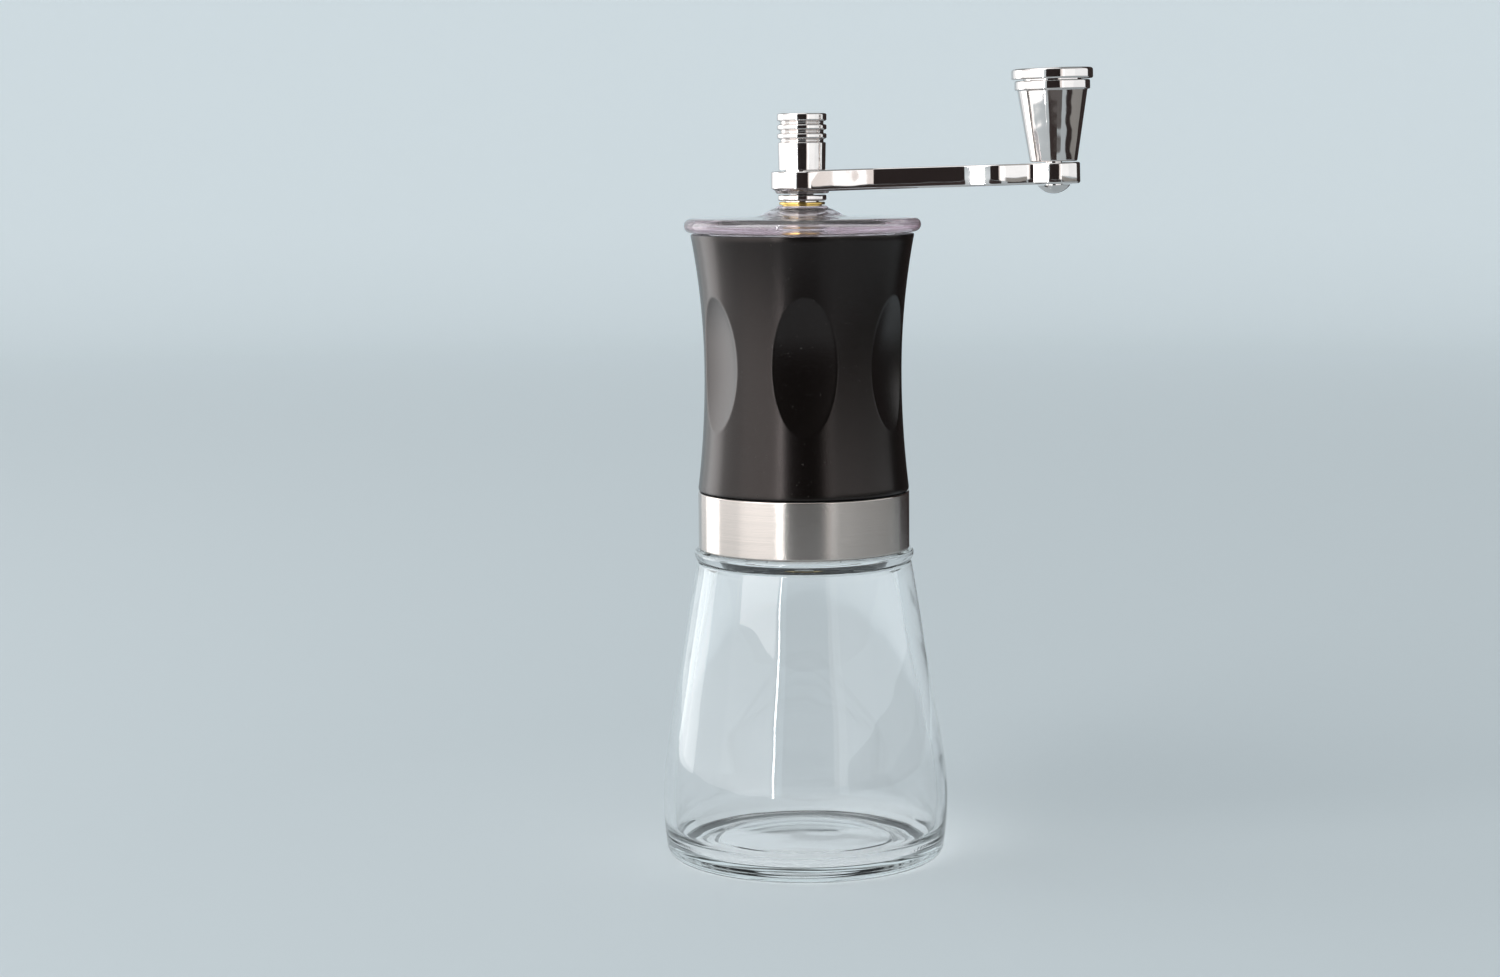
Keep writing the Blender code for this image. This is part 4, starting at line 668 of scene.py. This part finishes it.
# %% Turn the grooved column
_, column_low, column_top = reach("crank_socket")
_, _, shaft_top = reach("drive_shaft")
_, hub_bottom, _ = reach("crank_arm")
hub_top = hub_bottom + 5.8
COLUMN_BORE, COLUMN_NECK, COLUMN, HEAD = 3.0, 4.4, 6.3, 6.5
GROOVES, GROOVE_PITCH, GROOVE_DEPTH, HEAD_HEIGHT = 3, 2.3, 0.8, 7.6
bore_top, shoulder_z, groove_z = shaft_top + 0.6, hub_top + 0.3, column_top - HEAD_HEIGHT
groove_root = HEAD - GROOVE_DEPTH
column_section = [(0.0, bore_top), (COLUMN_BORE, bore_top, 0.2), (COLUMN_BORE, column_low, 0.1)]
column_section += [(COLUMN_NECK, column_low, 0.15), (COLUMN_NECK, shoulder_z)]
column_section += [(COLUMN - 0.15, shoulder_z, 0.1), (COLUMN, groove_z, 0.35)]
for groove in range(GROOVES):
    last = groove == GROOVES - 1
    ridge_top = column_top if last else groove_z + GROOVE_PITCH
    column_section += [(groove_root, groove_z + 0.3, 0.3), (groove_root, groove_z + 0.75, 0.3)]
    column_section += [(HEAD, groove_z + 1.15, 0.45), (HEAD, ridge_top, 0.45)]
    groove_z += GROOVE_PITCH
column = turn("grooved_column", soften(column_section + [(0.0, column_top)], sides=5), steps=128)
hand_over(column, chrome, "crank_socket")

# %% [markdown]
# ## The crank arm
# The arm is a die casting: a round hub, a lever that narrows and then runs out to a round eye.
# A box with a bevel would give a bar, but the waist of the lever is its character. So half of
# its plan is drawn point by point and mirrored, the plan is filled and drawn up to its
# thickness, and then both of its edges are rounded.

# %% Draw the lever
THICKNESS, ARM_LENGTH, EYE, EYE_ROOT = 5.5, 65.8, 6.9, 5.02
arm_middle = (hub_bottom + hub_top) / 2 + 0.35


def lever_plan():
    """Half of the plan from the hub to the eye, then mirrored to the other side."""
    upper = [(0.0, 8.0), (1.4, 7.97)] + [(2.2 + 16.0 * k / 6, 7.84 - 3.42 * k / 6) for k in range(7)]
    upper += [(19.2, 4.27), (20.2, 4.2), (30.0, 4.15), (40.6, 4.2), (41.6, 4.27), (42.4, 4.45)]
    upper += [(44.6, 5.14), (46.8, 5.83), (48.6, 6.38), (49.6, 6.6), (50.6, 6.62), (51.6, 6.46)]
    upper += [(54.0, 5.85), (56.4, 5.24), (58.4, 4.73), (59.3, 4.55), (59.9, 4.55), (60.4, 4.72)]
    upper += [(60.85, EYE_ROOT)]
    meet = degrees(atan2(EYE_ROOT, -sqrt(EYE ** 2 - EYE_ROOT ** 2)))
    tip = arc((ARM_LENGTH, 0.0), EYE, meet, -meet, 56)[1:-1]
    return upper + tip + [(x, -y) for x, y in reversed(upper)]


arm_bottom, arm_top = arm_middle - THICKNESS / 2, arm_middle + THICKNESS / 2
plan = [Vector((x * MM, y * MM, arm_bottom * MM)) for x, y in lever_plan()]
arm = trace("chrome_arm", plan + plan[:1])
bpy.ops.mesh.remove_doubles(threshold=WELD)
bpy.ops.mesh.edge_face_add()
bpy.ops.mesh.extrude_region_move(TRANSFORM_OT_translate={"value": (0, 0, THICKNESS * MM)})
bpy.ops.mesh.select_all(action="SELECT")
bpy.ops.mesh.normals_make_consistent(inside=False)
print("plan of", len(plan), "points")

# %% Round its edges
def bevel_loop(piece, z, width, segments):
    """Round the edges that lie at one height."""
    bpy.ops.mesh.select_mode(type="EDGE")
    bpy.ops.mesh.select_all(action="DESELECT")
    bpy.ops.object.mode_set(mode="OBJECT")
    for edge in piece.data.edges:
        ends = [piece.data.vertices[i].co.z / MM for i in edge.vertices]
        edge.select = all(abs(end - z) < 0.01 for end in ends)
    bpy.ops.object.mode_set(mode="EDIT")
    bpy.ops.mesh.bevel(offset=width * MM, segments=segments, affect="EDGES", clamp_overlap=True)


bevel_loop(arm, arm_bottom, 0.6, 4)
bevel_loop(arm, arm_top, 0.45, 4)
bpy.ops.object.mode_set(mode="OBJECT")
print("lever", len(arm.data.polygons), "faces")

# %% [markdown]
# ## The hub
# The lever rises a little towards its eye, while the hub stands square on the shaft. Drawing
# both in one plan would tilt the hub too. So the hub is turned by itself, the lever is tilted,
# and Boolean modifiers join them and then cut the bore and the seat that the column stands in,
# as the casting is machined after it is poured.

# %% Turn the hub and tilt the lever
ARM_RISE, HUB = 1.5, 8.146
hub = turn("hub", soften([
    (0.0, hub_bottom), (HUB - 1.3, hub_bottom, 0.2), (HUB - 0.9, hub_bottom + 0.75, 0.2),
    (HUB, hub_bottom + 1.35, 0.35), (HUB, hub_top, 0.5), (0.0, hub_top),
], sides=5), steps=128)
tilted = Matrix.Translation((0, 0, arm_middle * MM)) @ Matrix.Rotation(-atan2(ARM_RISE, ARM_LENGTH), 4, "Y")
arm.data.transform(tilted @ Matrix.Translation((0, 0, -arm_middle * MM)))
print("hub", round(2 * HUB, 1), "mm across")

# %% Join them and machine the hub
def combine(piece, other, operation):
    """Join or cut with another closed piece, which is used up."""
    change = piece.modifiers.new(operation.title(), "BOOLEAN")
    change.operation, change.object, change.solver = operation, other, "EXACT"
    only(piece)
    bpy.ops.object.modifier_apply(modifier=change.name)
    bpy.data.objects.remove(other)


def drill(name, radius, low, high, steps):
    """A plain round bar, to cut a hole of that size."""
    return turn(name, [(0.0, low), (radius, low), (radius, high), (0.0, high)], steps=steps)


HUB_BORE, COLUMN_SEAT = 4.65, 6.95
UNDER_HUB, OVER_HUB = 170.0, 190.0       # heights well past both faces of the hub
combine(arm, hub, "UNION")
combine(arm, drill("hub_bore", HUB_BORE, UNDER_HUB, OVER_HUB, 96), "DIFFERENCE")
combine(arm, drill("column_seat", COLUMN_SEAT, hub_top, OVER_HUB, 128), "DIFFERENCE")
only(arm)
bpy.ops.object.shade_smooth_by_angle(angle=radians(28))
hand_over(arm, chrome, "crank_arm")

# %% [markdown]
# ## The knob
# The knob spins on a rivet through the eye: a hollow cone that widens upwards to a band, and a
# cap with a rolled rim over it. Its axis leans with the arm. Turning it about a leaning axis
# would make every height a sum of two numbers, so the pieces are turned upright at the origin,
# and then carried to the eye with the arm's own tilt.

# %% Turn the knob
knob_place = tilted @ Matrix.Translation((ARM_LENGTH * MM, 0, 0))


def carry(piece, place):
    """Move a piece to its place and write that place into its mesh."""
    piece.matrix_world = place
    only(piece)
    bpy.ops.object.transform_apply(location=True, rotation=True, scale=True)
    return piece


PLAY = 0.3                               # between pieces that turn past each other
KNOB_BORE, CONE_FOOT, CONE, BAND, SOLID_FOOT = 2.5, 6.2, 9.15, 9.85, 5.0
knob_foot = THICKNESS / 2 + PLAY
cone_top, band_z, hollow_z = knob_foot + 18.5, knob_foot + 21.0, knob_foot + SOLID_FOOT
knob = turn("knob_cone", soften([
    (KNOB_BORE, knob_foot, 0.2), (CONE_FOOT, knob_foot, 0.4), (CONE, cone_top, 0.2),
    (BAND, cone_top + 0.15, 0.35), (BAND, band_z, 0.4), (8.2, band_z, 0.2), (5.15, hollow_z, 0.8),
    (KNOB_BORE, hollow_z, 0.2),
], sides=6), steps=160)
hand_over(carry(knob, knob_place), chrome, "knob")

# %% Turn its cap
CAP, CAP_SPIGOT = 10.65, 7.55
cap_z = band_z + PLAY
cap = turn("knob_cap_disc", soften([
    (0.0, cap_z - 2.0), (CAP_SPIGOT, cap_z - 2.0, 0.2), (CAP_SPIGOT, cap_z), (CAP, cap_z, 0.5),
    (CAP, cap_z + 2.8, 0.75), (9.2, cap_z + 2.85, 0.3), (8.9, cap_z + 2.65, 0.2), (0.0, cap_z + 2.55),
], sides=7), steps=160)
hand_over(carry(cap, knob_place), chrome, "knob_cap")

# %% Turn its rivet
STEM, INNER_HEAD, RIVET_HEAD, RIVET_HEIGHT, DOME = 2.2, 3.8, 4.3, 2.2, 5.3
under = -THICKNESS / 2 - PLAY
inner_low, inner_top = knob_foot + 5.3, knob_foot + 6.7
dome_end = -90 + degrees(atan2(RIVET_HEAD, DOME - RIVET_HEIGHT))
dome = arc((0.0, under - RIVET_HEIGHT + DOME), DOME, -90, dome_end, 12)
stem = soften([
    (RIVET_HEAD, under), (STEM, under), (STEM, inner_low), (INNER_HEAD, inner_low, 0.2),
    (INNER_HEAD, inner_top, 0.6), (0.0, inner_top),
])
rivet = turn("rivet", [(0.0, dome[0][1])] + dome[1:] + stem[1:], steps=96)
hand_over(carry(rivet, knob_place), chrome, "knob_pin")

# %% [markdown]
# ## Studio
# A plain pale floor that curves up into a pale wall all round, so the grinder can be looked at
# from any side. It is one more section that is turned. Polished metal and glass show the room
# itself, so the floor gets paler with its distance and adds a little light of its own to what
# the camera and mirrors see of it. It has no gloss, or the glowing panels would lie in it as
# bright pools.

# %% Build the floor and the wall
STUDIO, COVE, WALL_TOP = 2000.0, 800.0, 1400.0
UNDER_FOOT = 0.08       # keeps the floor's face clear of the jar's
wall = turn("studio_floor", [(0.0, 0.0), (STUDIO / 5, 0.0), (STUDIO / 2, 0.0), (STUDIO, 0.0)]
            + arc((STUDIO, COVE), COVE, -90, 0, 14)[1:] + [(STUDIO + COVE, WALL_TOP)], steps=96)
wall.location.z = -UNDER_FOOT * MM
only(wall)
bpy.ops.object.transform_apply(location=True, rotation=True, scale=True)
bpy.ops.object.mode_set(mode="EDIT")
bpy.ops.mesh.select_all(action="SELECT")
bpy.ops.mesh.normals_make_consistent(inside=True)
bpy.ops.object.mode_set(mode="OBJECT")
print("floor and wall", len(wall.data.polygons), "faces")

# %% Paper for the floor
paper = Finish("pale_paper", {"Roughness": 0.85, "Specular IOR Level": 0.0, "Emission Strength": 0.26})
fibre = paper.noise(220.0, detail=4.0)
far = paper.node("VectorMath", {"operation": "LENGTH"}, {0: paper.here}, output="Value")
paler = paper.node("MapRange", values={"Value": far + 0.04 * fibre, "From Min": 0.2, "From Max": 2.4})
by_camera = paper.node("LightPath", output="Is Camera Ray")
by_mirror, by_glass = (paper.node("LightPath", output=f"Is {way} Ray") for way in ("Glossy", "Transmission"))
seen = by_camera + by_mirror + by_glass > 0.5
lit = paper.node("VectorMath", {"operation": "SCALE"}, {0: (0.80, 0.87, 0.90), "Scale": paler * seen})
paper.set({"Base Color": paper.mix(paler, (0.60, 0.66, 0.69), (0.78, 0.84, 0.87)), "Emission Color": lit})
wall.data.materials.append(paper.material)
wall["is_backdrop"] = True
print("floor", 2 * STUDIO * MM, "m across")

# %% [markdown]
# ## Lamps and glowing panels
# A large soft lamp from the left and one overhead light the grinder. Lamps alone leave chrome
# and glass nearly black, because a mirror shows what stands round it and not the light that
# falls on it. So tall glowing panels stand on the left, dimmer ones farther off on the right,
# and one thin bright strip draws a fine line down all that is polished. Only reflections see
# the panels, so they leave the light on the floor even. Round it all is one dull pale room.

# %% Hang the lamps
def soft_lamp(name, place, size, glow, tint=(1, 1, 1)):
    """A big square lamp that looks at the grinder; glow is the brightness of its face."""
    bpy.ops.object.light_add(type="AREA", location=place)
    made = bpy.context.object
    made.name, made.data.size, made.data.color = name, size, tint
    made.data.energy = glow * pi * size ** 2
    made.rotation_euler = (Vector((0, 0, 0.1)) - made.location).to_track_quat("-Z", "Y").to_euler()
    made.visible_camera = made.visible_transmission = False
    print(name, round(made.data.energy, 2), "W")


soft_lamp("overhead", (-0.35, -0.10, 1.35), 1.3, 1.3)
soft_lamp("key", (-1.60, -1.35, 1.45), 1.8, 2.9, (1.0, 0.97, 0.95))

# %% Stand the glowing panels
def at_bearing(bearing, distance, z):
    """A point at a bearing in degrees, counted leftwards from the side the camera is on."""
    return Vector((-sin(radians(bearing)) * distance, -cos(radians(bearing)) * distance, z))


def panel(name, bearing, spread, low, high, glow, distance=0.6, tint=(1, 1, 1)):
    """A tall glowing panel for reflections alone; its spread is the angle that it fills."""
    bpy.ops.object.light_add(type="AREA", location=at_bearing(bearing, distance, (low + high) / 2))
    made = bpy.context.object
    made.name = name
    width = 2 * distance * tan(radians(spread / 2))
    made.data.shape, made.data.size, made.data.size_y = "RECTANGLE", width, high - low
    made.data.energy, made.data.color = glow * pi * width * (high - low), tint
    made.rotation_euler = (-at_bearing(bearing, 1.0, 0.0)).to_track_quat("-Z", "Y").to_euler()
    made.visible_camera = made.visible_transmission = made.visible_diffuse = False
    print(name, round(made.data.energy, 2), "W")


WARM, FAR_RIGHT = (1.0, 0.95, 0.92), 0.95
panel("left_front_panel", 51, 46, 0.0, 0.62, 1.30, tint=WARM)
panel("left_side_panel", 97, 46, 0.0, 0.62, 0.95, tint=WARM)
panel("left_back_panel", 133, 30, 0.0, 0.50, 0.60, tint=WARM)
panel("window", 117, 27, 0.0, 0.42, 1.9, distance=0.45)
panel("thin_strip", 26, 1.4, 0.0, 0.70, 20.0)
panel("right_strip", -27, 11, 0.055, 0.80, 1.10, FAR_RIGHT, WARM)
panel("right_front_panel", -48, 32, 0.12, 0.80, 0.75, FAR_RIGHT, WARM)
panel("right_side_panel", -88, 48, 0.12, 0.80, 0.60, FAR_RIGHT, WARM)

# %% Paint the room
world = bpy.data.worlds.new("pale_room")
world.use_nodes = True
room = world.node_tree.nodes["Background"].inputs
room["Color"].default_value = (0.64, 0.69, 0.71, 1.0)
room["Strength"].default_value = 0.55
bpy.context.scene.world = world
print("room painted")

# %% [markdown]
# ## Dark cards
# A mirror needs something dark beside something bright, or it looks like grey paint. A studio
# stands black felt round polished goods. Here felt hides behind the camera, lies on the floor
# out of view and hangs behind on the right, in four shades from nearly black to linen. It could
# be painted into the floor, but then the camera would see it. A card of its own can be hidden
# from everything but reflections.

# %% Cut the felt
def felt_of(name, colour):
    """Felt of one colour, a little lighter and darker with its nap."""
    felt = Finish(name, {"Specular IOR Level": 0.1})
    nap = felt.noise(300.0, detail=3.0)
    light, dark = tuple(1.2 * c for c in colour), tuple(0.8 * c for c in colour)
    felt.set({"Base Color": felt.mix(nap, dark, light), "Roughness": 0.85 + 0.1 * nap})
    return felt


brown_felt = felt_of("brown_felt", (0.050, 0.036, 0.034))
grey_felt = felt_of("grey_felt", (0.16, 0.145, 0.14))
pale_felt = felt_of("pale_felt", (0.32, 0.30, 0.28))
linen_felt = felt_of("linen_felt", (0.46, 0.43, 0.40))
print("four felts cut")

# %% Lay and stand the cards
LAID = 0.0006       # the height of a card that lies on the floor


def card(name, felt, left, right, near, far, z_near=LAID, z_far=LAID):
    """A sheet of felt that only mirrors see, between two bearings and from near to far."""
    only()
    bpy.ops.mesh.primitive_plane_add(size=1.0)
    made = bpy.context.object
    made.name = made.data.name = name
    corners = [(left, near, z_near), (right, near, z_near), (left, far, z_far), (right, far, z_far)]
    for vertex, corner in zip(made.data.vertices, corners):
        vertex.co = at_bearing(*corner)
    made.data.materials.append(felt.material)
    made.visible_camera = made.visible_diffuse = made.visible_shadow = made.visible_transmission = False
    made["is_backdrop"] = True
    print(name, "from", left, "to", right, "degrees")


card("card_behind_camera", brown_felt, 20, -26, 1.30, 1.30, 0.0, 1.1)
card("far_floor_card", brown_felt, 22, -30, 0.82, 1.30)
card("near_floor_card", grey_felt, 20, -33, 0.66, 0.82)
card("narrow_floor_card", brown_felt, 13, -17, 0.50, 0.66)
card("right_floor_card", pale_felt, -62, -126, 0.80, 0.93)
card("back_floor_card", brown_felt, -126, -176, 0.52, 0.93)
card("low_skirt", brown_felt, -34, -113, 0.93, 0.93, 0.0, 0.05)
card("high_skirt", linen_felt, -33, -113, 0.93, 0.93, 0.05, 0.12)
card("card_behind_right", brown_felt, -113, -170, 0.93, 0.93, 0.0, 0.9)

# %% [markdown]
# ## Sizes
# The dressed grinder has to fill the same box as the measured frame, or it would not fit where
# the frame does. The last line prints how far the dressed pieces reach past the frame's box on
# each side, in millimetres.

# %% Compare the sizes
low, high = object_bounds()
past = zip((*low, *cad_high), (*cad_low, *high))
print("reach past the frame, mm:", [round((outer - inner) / MM, 2) for inner, outer in past])
